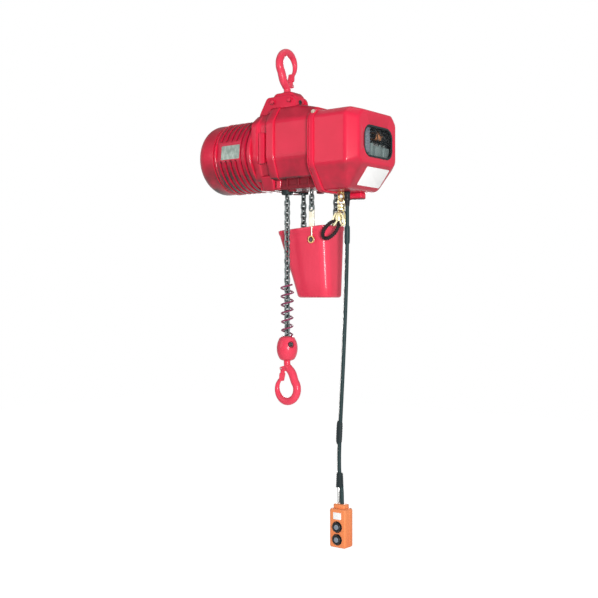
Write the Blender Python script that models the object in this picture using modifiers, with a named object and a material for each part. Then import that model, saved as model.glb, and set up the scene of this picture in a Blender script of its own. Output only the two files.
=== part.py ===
"""Electric chain hoist with a top hook, a finned motor, a chain bucket and a pendant control.

Metres, +Z up. X runs along the motor towards the control cover, -Y is the front, and the origin is the
saddle of the top hook, straight above the load chain.
"""

import math

import bmesh
import bpy
from mathutils import Matrix, Vector

# Clearances
FIT = 0.0003
RUN = 0.0005
MERGE = 0.00001
CUT_PAST = 0.01

# Chain and load sheave
CHAIN_WIRE = 0.005
CHAIN_PITCH = 0.015
LINK_WIDTH = 0.017
LINK_BITE = 0.0004
SHEAVE_POCKETS = 9
LINK_STEP = CHAIN_PITCH + LINK_BITE
POCKET_ANGLE = math.pi / SHEAVE_POCKETS
SHEAVE_RADIUS = LINK_STEP / (2 * math.tan(POCKET_ANGLE / 2))
SHEAVE_CORE = SHEAVE_RADIUS - LINK_WIDTH / 2 - FIT
SHEAVE_HALF_GROOVE = LINK_WIDTH / 2 + RUN
SHEAVE_FLANGE = 0.006
SHEAVE_FLANGE_RADIUS = 0.050
HOLLOW_SHAFT_RADIUS = 0.020
HOLLOW_SHAFT_START = -0.061
HOLLOW_SHAFT_END = 0.098
BEARING_RADIUS = 0.031
BEARING_WIDTH = 0.016
BEARING_INSET = 0.004
STRAND_TOP_GAP = 0.0005

# Motor axis, which the sheave shares
AXIS_Y = SHEAVE_RADIUS
AXIS_Z = -0.304

# Hooks, measured from the saddle
HOOK_BOWL = 0.0305
HOOK_STOCK = 0.0125
HOOK_BACK_STOCK = 0.014
HOOK_TIP_STOCK = 0.006
HOOK_OFFSET = 0.004
HOOK_SHANK = 0.009
HOOK_NECK = 0.104
HOOK_SEAT = 0.118
HOOK_NUT_RADIUS = 0.0165
HOOK_NUT_HEIGHT = 0.014
SEAT_THICKNESS = 0.0135
LATCH_PIVOT = (0.0175, 0.092)
LATCH_ROOT = 0.005
LATCH_HALF_THICKNESS = 0.002
LATCH_WIDTH = 0.012
LATCH_OVERLAP = 0.005
LATCH_PIN = 0.0025
LATCH_PIN_PROUD = 0.001
EAR_THICKNESS = 0.003
EAR_RADIUS = 0.006
BOTTOM_SADDLE_Z = -1.089

# Suspension bracket and the casting's cheeks that hold it
BRACKET_LEFT = -0.044
BRACKET_RIGHT = 0.052
BRACKET_HALF_DEPTH = 0.025
BRACKET_CHAMFER = 0.016
CHEEK_THICKNESS = 0.010
CHEEK_TOP = -0.130
BRACKET_BOLT = 0.005
BRACKET_BOLT_HEAD = 0.0085
BRACKET_BOLT_HEAD_HEIGHT = 0.006
CHEEK_LEFT = -0.088
CHEEK_LEFT_DROP = 0.020
CHEEK_LEFT_TOP = -0.055
CHEEK_RIGHT_TOP = 0.040
CHEEK_RIGHT = 0.058
CHEEK_RIGHT_DROP = 0.014
CHEEK_FLARE = 0.002
CHEEK_ROOT = 0.050
BRACKET_BOLT_X = (-0.030, 0.038)
BRACKET_BOLT_Z = -0.147

# Centre casting
BODY_MOTOR_END = -0.092
BODY_SHOULDER = -0.020
BODY_FALL_START = 0.076
BODY_COVER_END = 0.140
BODY_TOP = -0.165
BODY_NECK_TOP = -0.185
BODY_COVER_TOP = -0.180
BODY_BOTTOM = -0.428
BODY_HALF_DEPTH = 0.1132
BODY_NECK_HALF_DEPTH = 0.090
BODY_NECK_TOP_HALF = 0.070
BODY_NECK_BOTTOM_HALF = 0.060
BODY_FLAT_TOP = -0.214
BODY_FLAT_BOTTOM = -0.329
BODY_TOP_HALF = 0.080
BODY_BOTTOM_HALF = 0.080
BODY_FLOOR = 0.008
BODY_ROUND = 0.006
CHAIN_ROOM_HALF_LENGTH = 0.034
CHAIN_ROOM_HALF_DEPTH = 0.070
CHAIN_ROOM_TOP = -0.190
GEAR_ROOM_START = 0.058
GEAR_ROOM_HALF_DEPTH = 0.084
GEAR_ROOM_TOP = -0.206
GEAR_ROOM_BOTTOM = -0.392
MOTOR_ROOM_RADIUS = 0.074
MOTOR_ROOM_END = -0.063

# Gears: rotor pinion, intermediate gear, intermediate pinion, load gear
GEAR_MODULE = 0.0025
PINION_TEETH = 10
WHEEL_TEETH = 30
LAY_TEETH = 12
LOAD_TEETH = 28
LAY_DIRECTION = math.radians(50)
TOOTH_AT_PITCH = 0.0029
TOOTH_AT_TIP = 0.0011
TOOTH_HEIGHT = 0.0020
TOOTH_DEPTH = 0.0027
LOAD_GEAR_START = 0.064
LOAD_GEAR_WIDTH = 0.018
WHEEL_START = 0.104
WHEEL_WIDTH = 0.018
LAY_SHAFT = 0.009
LAY_SHAFT_START = 0.042

# Motor
FLANGE_LENGTH = 0.012
FLANGE_RADIUS = 0.1216
MOTOR_RADIUS = 0.1186
MOTOR_WALL = 0.0116
FIN_DEPTH = 0.009
FIN_COUNT = 6
FIN_PITCH = 0.0215
FIN_SLOT = 0.009
MOTOR_LENGTH = 0.135
CAP_LENGTH = 0.099
CAP_WALL = 0.008
CAP_STRAIGHT = 0.073
CAP_FACE_RADIUS = 0.080
CORE_FRONT_INSET = 0.024
CORE_REAR_INSET = 0.027
ROTOR_RADIUS = 0.0612
ROTOR_SHAFT = 0.008
AIR_GAP = 0.0008
BRAKE_RADIUS = 0.066
BRAKE_DISC = 0.006
BRAKE_GAP = 0.0006
BRAKE_COIL = 0.020
REAR_BEARING_RADIUS = 0.024
REAR_BEARING_WIDTH = 0.012
SHAFT_SHORT = 0.003

# Gear cover and control cover
GEAR_COVER = 0.011
RIM_PROUD = 0.003
COVER_FRONT = 0.1252
COVER_CORNER_X = 0.281
COVER_END_X = 0.311
COVER_CORNER = 0.030
COVER_TOP = -0.198
COVER_FLAT_TOP = -0.218
COVER_FLAT_BOTTOM = -0.366
COVER_BOTTOM = -0.440
COVER_TOP_HALF = 0.103
COVER_BOTTOM_HALF = 0.073
COVER_BOTTOM_X = 0.256
COVER_WALL = 0.004
COVER_END_CHAMFER = 0.014
COVER_END_DROP = 0.008
COVER_BACK_EXTRA = 0.014
WINDOW_WIDTH = 0.158
WINDOW_HEIGHT = 0.097
WINDOW_Y = 0.055
WINDOW_Z = -0.297
WINDOW_CORNER = 0.026
GASKET_WIDTH = 0.005
GASKET_PROUD = 0.0025
LENS_THICKNESS = 0.003

# Electrics on the gear cover
CONTACTOR_SIZE = (0.085, 0.044, 0.070)
CONTACTOR_PITCH = 0.047
CONTACTOR_Y = 0.050
CONTACTOR_Z = -0.330
TRANSFORMER_SIZE = (0.075, 0.056, 0.050)
TRANSFORMER_Y = 0.040
TRANSFORMER_Z = -0.258
TERMINAL_SIZE = (0.060, 0.022, 0.110)
TERMINAL_Y = -0.018
ELECTRICS_ROUND = 0.002

# Limit striker
STRIKER_RADIUS = 0.018
STRIKER_FLANGE = 0.0235
STRIKER_FLANGE_HEIGHT = 0.006
STRIKER_BORE = (LINK_WIDTH / 2 + FIT) / math.cos(math.pi / 24)
STRIKER_BOTTOM = -0.4416

# Bottom block and limit spring
BLOCK_RADIUS = 0.0336
BLOCK_HEIGHT = 0.078
BLOCK_SPLIT = 0.0003
BLOCK_CHAIN_BORE = 0.0105
BLOCK_BOLT = 0.0028
BLOCK_BOLT_HEAD = 0.0065
BLOCK_BOLT_DROP = 0.026
BLOCK_BOLT_SEAT = 0.022
BLOCK_BOLT_END = 0.029
BLOCK_END_SHARE = 0.58
SPRING_WIRE = 0.004
SPRING_TOP_RADIUS = 0.0195
SPRING_BOTTOM_RADIUS = 0.0165
SPRING_LENGTH = 0.166
SPRING_TURNS = 6

# Chain bucket and its hangers
BUCKET_TOP = -0.540
BUCKET_BOTTOM = -0.763
BUCKET_WALL = 0.003
BUCKET_CORNER = 0.030
BUCKET_MOUTH = (-0.068, 0.130, 0.022, 0.150)
BUCKET_FLOOR = (-0.005, 0.127, 0.045, 0.140)
HEAP_HEIGHT = 0.040
SLACK_BELOW_RIM = 0.072
HANGER_X = 0.083
HANGER_WIDTH = 0.017
HANGER_THICKNESS = 0.004
HANGER_ROD = 0.009
HANGER_DROP = 0.046
HANGER_BAR_ABOVE_RIM = 0.002
HANGER_BOLT = 0.005
HANGER_BOLT_HEAD = 0.010
HANGER_BOLT_HEAD_HEIGHT = 0.006
HANGER_BOLT_LENGTH = 0.016

# Cable support and pendant
GLAND_X = 0.203
GLAND_RADIUS = 0.013
GLAND_LENGTH = 0.046
GLAND_THREAD = 0.0085
GLAND_INSIDE = 0.012
GLAND_NUT = 0.028
GLAND_MOUTH = 0.0094
CABLE_INSIDE = 0.010
CABLE_RADIUS = 0.0058
WIRE_RADIUS = 0.0015
SWING_Z = -0.550
SWING_LIMIT = math.radians(15)
SHACKLE_X = 0.175
SHACKLE_RADIUS = 0.012
SHACKLE_WIRE = 0.0026
SNAP_HALF_WIDTH = 0.010
SNAP_SLACK = 0.003
LOOP_ROPE = 0.005
LOOP_CLEAR = 0.0014
LOOP_SHIFT = 0.004
LOOP_TOP = -0.533
LOOP_END = (0.138, 0.010, -0.583)
LOOP_FACING = (0.616, -0.788, 0)
LOOP_HALF_WIDTH = 0.016
PENDANT_X = 0.180
PENDANT_WIDTH = 0.059
PENDANT_DEPTH = 0.044
PENDANT_TOP = -1.427
PENDANT_HEIGHT = 0.121
PENDANT_FRONT_DEPTH = 0.026
PENDANT_WALL = 0.004
PENDANT_ROUND = 0.004
BOOT_TOP = -1.318
BOOT_RADIUS = 0.0125
BOOT_TOP_RADIUS = 0.0106
BOOT_FLANGE = 0.0205
BOOT_FLANGE_TOP = -1.413
BUTTON_RADIUS = 0.0155
BUTTON_PROUD = 0.006
BUTTON_LIP = 0.0015
BUTTON_DROPS = (0.056, 0.095)

FINISH_VALUES = {
    "red_paint": ((0.72, 0.045, 0.085, 1), 0.35, 0.0),
    "red_cast": ((0.62, 0.035, 0.070, 1), 0.5, 0.0),
    "chain_steel": ((0.16, 0.18, 0.18, 1), 0.4, 1.0),
    "bright_steel": ((0.60, 0.60, 0.58, 1), 0.3, 1.0),
    "zinc": ((0.66, 0.64, 0.52, 1), 0.35, 1.0),
    "brass": ((0.70, 0.56, 0.26, 1), 0.3, 1.0),
    "plum_spring": ((0.30, 0.05, 0.12, 1), 0.4, 0.3),
    "black_rubber": ((0.02, 0.02, 0.022, 1), 0.6, 0.0),
    "black_plastic": ((0.03, 0.03, 0.032, 1), 0.4, 0.0),
    "clear": ((0.10, 0.11, 0.12, 1), 0.05, 0.0),
    "orange_plastic": ((0.85, 0.25, 0.03, 1), 0.4, 0.0),
    "grey_plastic": ((0.35, 0.38, 0.37, 1), 0.5, 0.0),
    "copper": ((0.55, 0.24, 0.12, 1), 0.4, 1.0),
    "laminated_steel": ((0.30, 0.30, 0.31, 1), 0.45, 1.0),
}

# Turns that lay a local Z axis along a world axis
AXIS_TURN = {"X": (0, math.pi / 2, 0), "Y": (-math.pi / 2, 0, 0), "Z": (0, 0, 0)}

# Columns that lay a local XY outline in a world plane
YZ_PLANE = Matrix(((0, 0, 1), (1, 0, 0), (0, 1, 0))).to_4x4()
XZ_PLANE = Matrix(((1, 0, 0), (0, 0, -1), (0, 1, 0))).to_4x4()


def new_collection(name):
    made = bpy.data.collections.new(name)
    bpy.context.scene.collection.children.link(made)
    return made


def new_finish(name, colour, roughness, metallic):
    made = bpy.data.materials.new(name)
    made.use_nodes = True
    shader = made.node_tree.nodes["Principled BSDF"]
    shader.inputs["Base Color"].default_value = colour
    shader.inputs["Roughness"].default_value = roughness
    shader.inputs["Metallic"].default_value = metallic
    return made


for old in list(bpy.data.objects):
    bpy.data.objects.remove(old, do_unlink=True)

PARTS = new_collection("electric_chain_hoist")
CUTTERS = new_collection("cutters")
FINISHES = {name: new_finish(name, *values) for name, values in FINISH_VALUES.items()}


def new_object(name, data, finish):
    """Link data as a part with a finish, or as a hidden helper when it has none."""
    made = bpy.data.objects.new(name, data)
    if finish:
        PARTS.objects.link(made)
        data.materials.append(FINISHES[finish])
    else:
        CUTTERS.objects.link(made)
        made.hide_render = True
        made.display_type = "WIRE"
    return made


def from_bmesh(name, work, finish):
    bmesh.ops.recalc_face_normals(work, faces=work.faces)
    mesh = bpy.data.meshes.new(name)
    work.to_mesh(mesh)
    work.free()
    return new_object(name, mesh, finish)


def loft(name, rings, finish=None, open_start=False):
    """Skin through rings of equal point counts, with a flat cap on each closed end."""
    work = bmesh.new()
    rows = [[work.verts.new(point) for point in ring] for ring in rings]
    for near, far in zip(rows, rows[1:]):
        for i in range(len(near)):
            j = (i + 1) % len(near)
            work.faces.new((near[i], near[j], far[j], far[i]))
    if not open_start:
        work.faces.new(rows[0])
    work.faces.new(rows[-1])
    return from_bmesh(name, work, finish)


def box(name, low, high, finish=None):
    work = bmesh.new()
    bmesh.ops.create_cube(work, size=1)
    size = Vector(high) - Vector(low)
    centre = (Vector(high) + Vector(low)) / 2
    spread = Matrix.Translation(centre) @ Matrix.Diagonal((*size, 1))
    bmesh.ops.transform(work, matrix=spread, verts=work.verts)
    return from_bmesh(name, work, finish)


def turned(name, profile, centre, axis, finish=None, steps=24):
    """Turn (radius, height) pairs about an axis; a profile that starts off the axis is a closed ring."""
    edges = [(i, i + 1) for i in range(len(profile) - 1)]
    if profile[0][0] > 0:
        edges.append((len(profile) - 1, 0))
    mesh = bpy.data.meshes.new(name)
    mesh.from_pydata([(radius, 0, height) for radius, height in profile], edges, [])
    made = new_object(name, mesh, finish)
    made.location = centre
    made.rotation_euler = AXIS_TURN[axis]
    screw = made.modifiers.new("turn", "SCREW")
    screw.steps = steps
    screw.render_steps = steps
    screw.use_merge_vertices = True
    screw.merge_threshold = MERGE
    return made


def rod(name, radius, start, end, centre, axis, finish=None, steps=24):
    return turned(name, [(0, end), (radius, end), (radius, start), (0, start)], centre, axis, finish, steps)


def ring(name, outer, inner, start, end, centre, axis, finish=None, steps=24):
    profile = [(outer, end), (outer, start), (inner, start), (inner, end)]
    return turned(name, profile, centre, axis, finish, steps)


def circle(radius, count, centre=(0, 0)):
    turn = 2 * math.pi / count
    u, v = centre
    return [(u + radius * math.cos(i * turn), v + radius * math.sin(i * turn)) for i in range(count)]


def plate(name, outlines, thickness, place, finish=None):
    """Extrude a flat outline, with any further outlines as holes, half each way from its plane."""
    data = bpy.data.curves.new(name, "CURVE")
    data.dimensions = "2D"
    data.fill_mode = "BOTH"
    data.extrude = thickness / 2
    for outline in outlines:
        spline = data.splines.new("POLY")
        spline.points.add(len(outline) - 1)
        for point, (u, v) in zip(spline.points, outline):
            point.co = (u, v, 0, 1)
        spline.use_cyclic_u = True
    made = new_object(name, data, finish)
    made.matrix_world = place
    return made


def tube(name, points, radius, finish=None, radii=None, closed=False, resolution=2, place=None):
    """Sweep a round section along points, with a share of the radius at each where radii are given."""
    data = bpy.data.curves.new(name, "CURVE")
    data.dimensions = "3D"
    data.bevel_depth = radius
    data.bevel_resolution = resolution
    data.use_fill_caps = True
    spline = data.splines.new("POLY")
    spline.points.add(len(points) - 1)
    for i, point in enumerate(points):
        spline.points[i].co = (*point, 1)
        spline.points[i].radius = radii[i] / radius if radii else 1
    spline.use_cyclic_u = closed
    made = new_object(name, data, finish)
    made.matrix_world = place or Matrix.Identity(4)
    return made


def meshed(source):
    """Replace a curve object by a welded mesh object of the same name, place and finish."""
    bpy.context.view_layer.update()
    evaluated = source.evaluated_get(bpy.context.evaluated_depsgraph_get())
    mesh = bpy.data.meshes.new_from_object(evaluated)
    work = bmesh.new()
    work.from_mesh(mesh)
    bmesh.ops.remove_doubles(work, verts=work.verts, dist=MERGE)
    bmesh.ops.recalc_face_normals(work, faces=work.faces)
    work.to_mesh(mesh)
    work.free()
    name = source.name
    place = source.matrix_world.copy()
    home = source.users_collection[0]
    hidden = source.hide_render
    bpy.data.objects.remove(source, do_unlink=True)
    made = bpy.data.objects.new(name, mesh)
    home.objects.link(made)
    made.matrix_world = place
    made.hide_render = hidden
    made.display_type = "WIRE" if hidden else "TEXTURED"
    return made


def combine(target, other, operation):
    boolean = target.modifiers.new(other.name, "BOOLEAN")
    boolean.operation = operation
    boolean.object = other
    boolean.solver = "EXACT"


def cut(target, *others):
    for other in others:
        combine(target, other, "DIFFERENCE")


def join(target, *others):
    for other in others:
        combine(target, other, "UNION")


def soften(target, width, segments=1):
    bevel = target.modifiers.new("rounded_edges", "BEVEL")
    bevel.width = width
    bevel.segments = segments
    bevel.limit_method = "ANGLE"
    bevel.angle_limit = math.radians(25)


def on_axis(x):
    return Vector((x, AXIS_Y, AXIS_Z))


# Hooks, shared by the suspension and the bottom block

HOOK_REACH = HOOK_BOWL + HOOK_STOCK
HOOK_ARC_STEP = 20
HOOK_ARC = range(140, 401, HOOK_ARC_STEP)
HOOK_CENTRE_HEIGHT = HOOK_REACH * math.cos(math.radians(HOOK_ARC_STEP / 2)) - HOOK_STOCK
HOOK_NECK_BENDS = ((-0.008, 0.0935), (-0.023, 0.0785))
HOOK_SHANK_END = HOOK_SEAT + SEAT_THICKNESS + HOOK_NUT_HEIGHT + 4 * FIT
NUT_ROOM_RADIUS = HOOK_NUT_RADIUS + 3 * RUN
TOP_HOOK_PLACE = Matrix(((0, 0, -1), (1, 0, 0), (0, -1, 0))).to_4x4()
BOTTOM_HOOK_TURN = Matrix(((-1, 0, 0), (0, 0, 1), (0, 1, 0))).to_4x4()
BOTTOM_HOOK_PLACE = Matrix.Translation((0, 0, BOTTOM_SADDLE_Z)) @ BOTTOM_HOOK_TURN


def hook_arc_point(degrees):
    angle = math.radians(degrees)
    return (HOOK_REACH * math.cos(angle) - HOOK_OFFSET, HOOK_CENTRE_HEIGHT + HOOK_REACH * math.sin(angle))


def hook_arc_stock(degrees):
    """Half thickness round the bowl: even over the saddle, heavier at the back, slim at the tip."""
    back = max(0, 260 - degrees) / 120
    tip = max(0, degrees - 280) / 120
    return HOOK_STOCK + (HOOK_BACK_STOCK - HOOK_STOCK) * back + (HOOK_TIP_STOCK - HOOK_STOCK) * tip


def capsule(start, end, radius, count=6):
    """Outline of a flat bar with round ends."""
    lean = math.atan2(end[1] - start[1], end[0] - start[0])
    outline = []
    for centre, base in ((end, lean - math.pi / 2), (start, lean + math.pi / 2)):
        for i in range(count + 1):
            angle = base + math.pi * i / count
            outline.append((centre[0] + radius * math.cos(angle), centre[1] + radius * math.sin(angle)))
    return outline


def make_hook(name, place):
    """Hook with a tapering bowl and two ears that carry the latch pin."""
    route = [(0, HOOK_SHANK_END), (0, HOOK_NECK), *HOOK_NECK_BENDS, *(hook_arc_point(a) for a in HOOK_ARC)]
    neck_share = (0, 0, 0.4, 0.8)
    radii = [HOOK_SHANK + (HOOK_BACK_STOCK - HOOK_SHANK) * share for share in neck_share]
    radii += [hook_arc_stock(a) for a in HOOK_ARC]
    points = [(u, w, 0) for u, w in route]
    hook = meshed(tube(name, points, HOOK_STOCK, "red_paint", radii=radii, place=place))
    for side in (-1, 1):
        offset = side * (LATCH_WIDTH / 2 + FIT + EAR_THICKNESS / 2)
        outline = capsule(HOOK_NECK_BENDS[0], LATCH_PIVOT, EAR_RADIUS)
        hole = circle(LATCH_PIN + FIT, 12, LATCH_PIVOT)
        ear_place = place @ Matrix.Translation((0, 0, offset))
        ear = meshed(plate(f"{name}_ear_{side}", [outline, hole], EAR_THICKNESS, ear_place))
        join(hook, ear)
    return hook


def make_latch(name, place):
    """Sprung bar from the pivot to behind the tip, which it just clears."""
    tip = Vector(hook_arc_point(HOOK_ARC[-1]))
    pivot = Vector(LATCH_PIVOT)
    reach = tip - pivot
    stand_off = HOOK_TIP_STOCK + LATCH_HALF_THICKNESS + FIT
    lean = math.atan2(reach.y, reach.x) - math.asin(stand_off / reach.length)
    along = Vector((math.cos(lean), math.sin(lean)))
    across = Vector((-along.y, along.x)) * LATCH_HALF_THICKNESS
    end = pivot + along * (math.sqrt(reach.length**2 - stand_off**2) + LATCH_OVERLAP)
    outline = [tuple(end - across), tuple(end + across)]
    for i in range(7):
        angle = lean + math.radians(60 + 40 * i)
        outline.append((pivot.x + LATCH_ROOT * math.cos(angle), pivot.y + LATCH_ROOT * math.sin(angle)))
    hole = circle(LATCH_PIN + FIT, 12, LATCH_PIVOT)
    return plate(name, [outline, hole], LATCH_WIDTH, place, "bright_steel")


def make_latch_pin(name, place):
    half = LATCH_WIDTH / 2 + FIT + EAR_THICKNESS + LATCH_PIN_PROUD
    pin = rod(name, LATCH_PIN, -half, half, (0, 0, 0), "Z", "bright_steel", 12)
    pin.matrix_world = place @ Matrix.Translation((*LATCH_PIVOT, 0))


def make_hook_nut(name, place):
    start = HOOK_SEAT + SEAT_THICKNESS + FIT
    bore = (HOOK_SHANK + FIT) / math.cos(math.pi / 12)
    end = start + HOOK_NUT_HEIGHT
    nut = ring(name, HOOK_NUT_RADIUS, bore, start, end, (0, 0, 0), "Y", "bright_steel", 12)
    nut.matrix_world = place @ nut.rotation_euler.to_matrix().to_4x4()


for hook_end, hook_place in (("top", TOP_HOOK_PLACE), ("bottom", BOTTOM_HOOK_PLACE)):
    make_hook(f"{hook_end}_hook", hook_place)
    make_latch(f"{hook_end}_latch", hook_place)
    make_latch_pin(f"{hook_end}_latch_pin", hook_place)
    make_hook_nut(f"{hook_end}_hook_nut", hook_place)


# Suspension bracket

BRACKET_BASE = BODY_TOP + FIT
BOLT_PAST_CHEEK = BRACKET_HALF_DEPTH + FIT + CHEEK_THICKNESS


def make_bracket():
    shoulder = -HOOK_SEAT - BRACKET_CHAMFER
    outline = [
        (BRACKET_LEFT, BRACKET_BASE),
        (BRACKET_LEFT, shoulder),
        (BRACKET_LEFT + BRACKET_CHAMFER, -HOOK_SEAT),
        (BRACKET_RIGHT - BRACKET_CHAMFER, -HOOK_SEAT),
        (BRACKET_RIGHT, shoulder),
        (BRACKET_RIGHT, BRACKET_BASE),
    ]
    rings = [[(x, y, z) for x, z in outline] for y in (-BRACKET_HALF_DEPTH, BRACKET_HALF_DEPTH)]
    bracket = loft("suspension_bracket", rings, "red_cast")
    seat = -HOOK_SEAT - SEAT_THICKNESS
    cut(bracket, rod("bracket_bore", HOOK_SHANK + RUN, seat - CUT_PAST, 0, (0, 0, 0), "Z"))
    cut(bracket, rod("bracket_nut_room", NUT_ROOM_RADIUS, BODY_TOP - CUT_PAST, seat, (0, 0, 0), "Z"))
    return bracket


def make_bracket_bolt(name, x):
    head = BOLT_PAST_CHEEK + FIT
    profile = [
        (0, BOLT_PAST_CHEEK),
        (BRACKET_BOLT, BOLT_PAST_CHEEK),
        (BRACKET_BOLT, -head),
        (BRACKET_BOLT_HEAD, -head),
        (BRACKET_BOLT_HEAD, -head - BRACKET_BOLT_HEAD_HEIGHT),
        (0, -head - BRACKET_BOLT_HEAD_HEIGHT),
    ]
    turned(name, profile, (x, 0, BRACKET_BOLT_Z), "Y", "bright_steel", 12)


suspension_bracket = make_bracket()
bracket_bolt_holes = []
for bolt_name, bolt_x in zip(("left", "right"), BRACKET_BOLT_X):
    make_bracket_bolt(f"bracket_bolt_{bolt_name}", bolt_x)
    bolt_centre = (bolt_x, 0, BRACKET_BOLT_Z)
    far = BOLT_PAST_CHEEK + CUT_PAST
    bolt_hole = rod(f"bracket_hole_{bolt_name}", BRACKET_BOLT + FIT, -far, far, bolt_centre, "Y", None, 12)
    bracket_bolt_holes.append(bolt_hole)
cut(suspension_bracket, *bracket_bolt_holes)


# Centre casting

LAY_OFFSET = GEAR_MODULE * (PINION_TEETH + WHEEL_TEETH) / 2
LAY_Y = AXIS_Y + LAY_OFFSET * math.cos(LAY_DIRECTION)
LAY_Z = AXIS_Z + LAY_OFFSET * math.sin(LAY_DIRECTION)
GEAR_COVER_START = BODY_COVER_END + FIT
GEAR_COVER_END = GEAR_COVER_START + GEAR_COVER
SLACK_Y = 2 * AXIS_Y
SLACK_HOLE = LINK_WIDTH / 2 + 8 * RUN


def body_ring(x, half_depth, top_half, bottom_half, top_z=BODY_TOP):
    front = [(-half_depth, BODY_FLAT_TOP), (-half_depth, BODY_FLAT_BOTTOM), (-bottom_half, BODY_BOTTOM)]
    back = [(bottom_half, BODY_BOTTOM), (half_depth, BODY_FLAT_BOTTOM), (half_depth, BODY_FLAT_TOP)]
    top = [(top_half, top_z), (-top_half, top_z)]
    return [(x, AXIS_Y + y, z) for y, z in front + back + top]


def make_cheek(name, side):
    inner = side * (BRACKET_HALF_DEPTH + FIT)
    outer = side * BOLT_PAST_CHEEK
    root = BODY_TOP - CHEEK_ROOT
    outline = [
        (CHEEK_LEFT, root),
        (CHEEK_LEFT, BODY_TOP - CHEEK_LEFT_DROP),
        (CHEEK_LEFT_TOP, CHEEK_TOP),
        (CHEEK_RIGHT_TOP, CHEEK_TOP),
        (CHEEK_RIGHT, CHEEK_TOP - CHEEK_RIGHT_DROP),
        (CHEEK_RIGHT + CHEEK_FLARE, root),
    ]
    return loft(name, [[(x, y, z) for x, z in outline] for y in (inner, outer)])


def make_body():
    full = (BODY_HALF_DEPTH, BODY_TOP_HALF, BODY_BOTTOM_HALF)
    neck = (BODY_NECK_HALF_DEPTH, BODY_NECK_TOP_HALF, BODY_NECK_BOTTOM_HALF)
    rings = [
        body_ring(BODY_MOTOR_END, *neck, BODY_NECK_TOP),
        body_ring(BODY_SHOULDER, *full),
        body_ring(BODY_FALL_START, *full),
        body_ring(BODY_COVER_END, *full, BODY_COVER_TOP),
    ]
    body = loft("hoist_body", rings, "red_cast")
    soften(body, BODY_ROUND)
    join(body, make_cheek("front_cheek", -1), make_cheek("rear_cheek", 1))
    bore_end = GEAR_ROOM_START + CUT_PAST
    motor_room = [
        (0, bore_end),
        (BEARING_RADIUS, bore_end),
        (BEARING_RADIUS, MOTOR_ROOM_END),
        (MOTOR_ROOM_RADIUS, MOTOR_ROOM_END),
        (MOTOR_ROOM_RADIUS, BODY_MOTOR_END - CUT_PAST),
        (0, BODY_MOTOR_END - CUT_PAST),
    ]
    cut(body, turned("motor_room_and_bearing_bore", motor_room, on_axis(0), "X"))
    room_low = (-CHAIN_ROOM_HALF_LENGTH, AXIS_Y - CHAIN_ROOM_HALF_DEPTH, BODY_BOTTOM + BODY_FLOOR)
    room_high = (CHAIN_ROOM_HALF_LENGTH, AXIS_Y + CHAIN_ROOM_HALF_DEPTH, CHAIN_ROOM_TOP)
    cut(body, box("chain_room", room_low, room_high))
    gear_low = (GEAR_ROOM_START, AXIS_Y - GEAR_ROOM_HALF_DEPTH, GEAR_ROOM_BOTTOM)
    gear_high = (BODY_COVER_END + CUT_PAST, AXIS_Y + GEAR_ROOM_HALF_DEPTH, GEAR_ROOM_TOP)
    cut(body, box("gear_room", gear_low, gear_high))
    lay_centre = (0, LAY_Y, LAY_Z)
    cut(body, rod("lay_bore", LAY_SHAFT + RUN, LAY_SHAFT_START - FIT, bore_end, lay_centre, "X"))
    floor = (BODY_BOTTOM - CUT_PAST, BODY_BOTTOM + BODY_FLOOR + CUT_PAST)
    cut(body, rod("striker_hole", STRIKER_RADIUS + FIT, *floor, (0, 0, 0), "Z"))
    cut(body, rod("slack_hole", SLACK_HOLE, *floor, (0, SLACK_Y, 0), "Z"))
    cut(body, *bracket_bolt_holes)


make_body()


# Motor

FLANGE_START = BODY_MOTOR_END - FIT - FLANGE_LENGTH
MOTOR_END = FLANGE_START - FIT
MOTOR_START = MOTOR_END - MOTOR_LENGTH
CAP_START = MOTOR_START - FIT - CAP_LENGTH
CAP_INNER = CAP_START + CAP_WALL
CORE_END = MOTOR_END - CORE_FRONT_INSET
CORE_START = MOTOR_START + CORE_REAR_INSET
CORE_LENGTH = CORE_END - CORE_START
FIN_ROOT = MOTOR_RADIUS - FIN_DEPTH
MOTOR_BORE = FIN_ROOT - MOTOR_WALL
SHAFT_START = CAP_INNER + FIT
SHAFT_END = GEAR_COVER_END - SHAFT_SHORT


def motor_frame_profile():
    """Outer side of the frame with its slots, from the flange to the end cap, then the bore."""
    profile = [(MOTOR_RADIUS, MOTOR_END)]
    for i in range(FIN_COUNT):
        near = MOTOR_END - FIN_SLOT / 2 - i * FIN_PITCH
        far = near - FIN_SLOT
        profile += [(MOTOR_RADIUS, near), (FIN_ROOT, near), (FIN_ROOT, far), (MOTOR_RADIUS, far)]
    return profile + [(MOTOR_RADIUS, MOTOR_START), (MOTOR_BORE, MOTOR_START), (MOTOR_BORE, MOTOR_END)]


def end_cap_profile():
    """Domed cap: its inner face out to the rim, then over a quarter ellipse to the flat outer face."""
    rim = MOTOR_START - FIT
    dome = MOTOR_RADIUS - CAP_FACE_RADIUS
    floor_radius = CAP_FACE_RADIUS - CAP_WALL
    profile = [(0, CAP_INNER), (floor_radius, CAP_INNER), (MOTOR_BORE, rim), (MOTOR_RADIUS, rim)]
    for degrees in (0, 30, 60, 90):
        angle = math.radians(degrees)
        depth = CAP_STRAIGHT + (CAP_LENGTH - CAP_STRAIGHT) * math.sin(angle)
        profile.append((CAP_FACE_RADIUS + dome * math.cos(angle), rim - depth))
    return [*profile, (0, CAP_START)]


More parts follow.
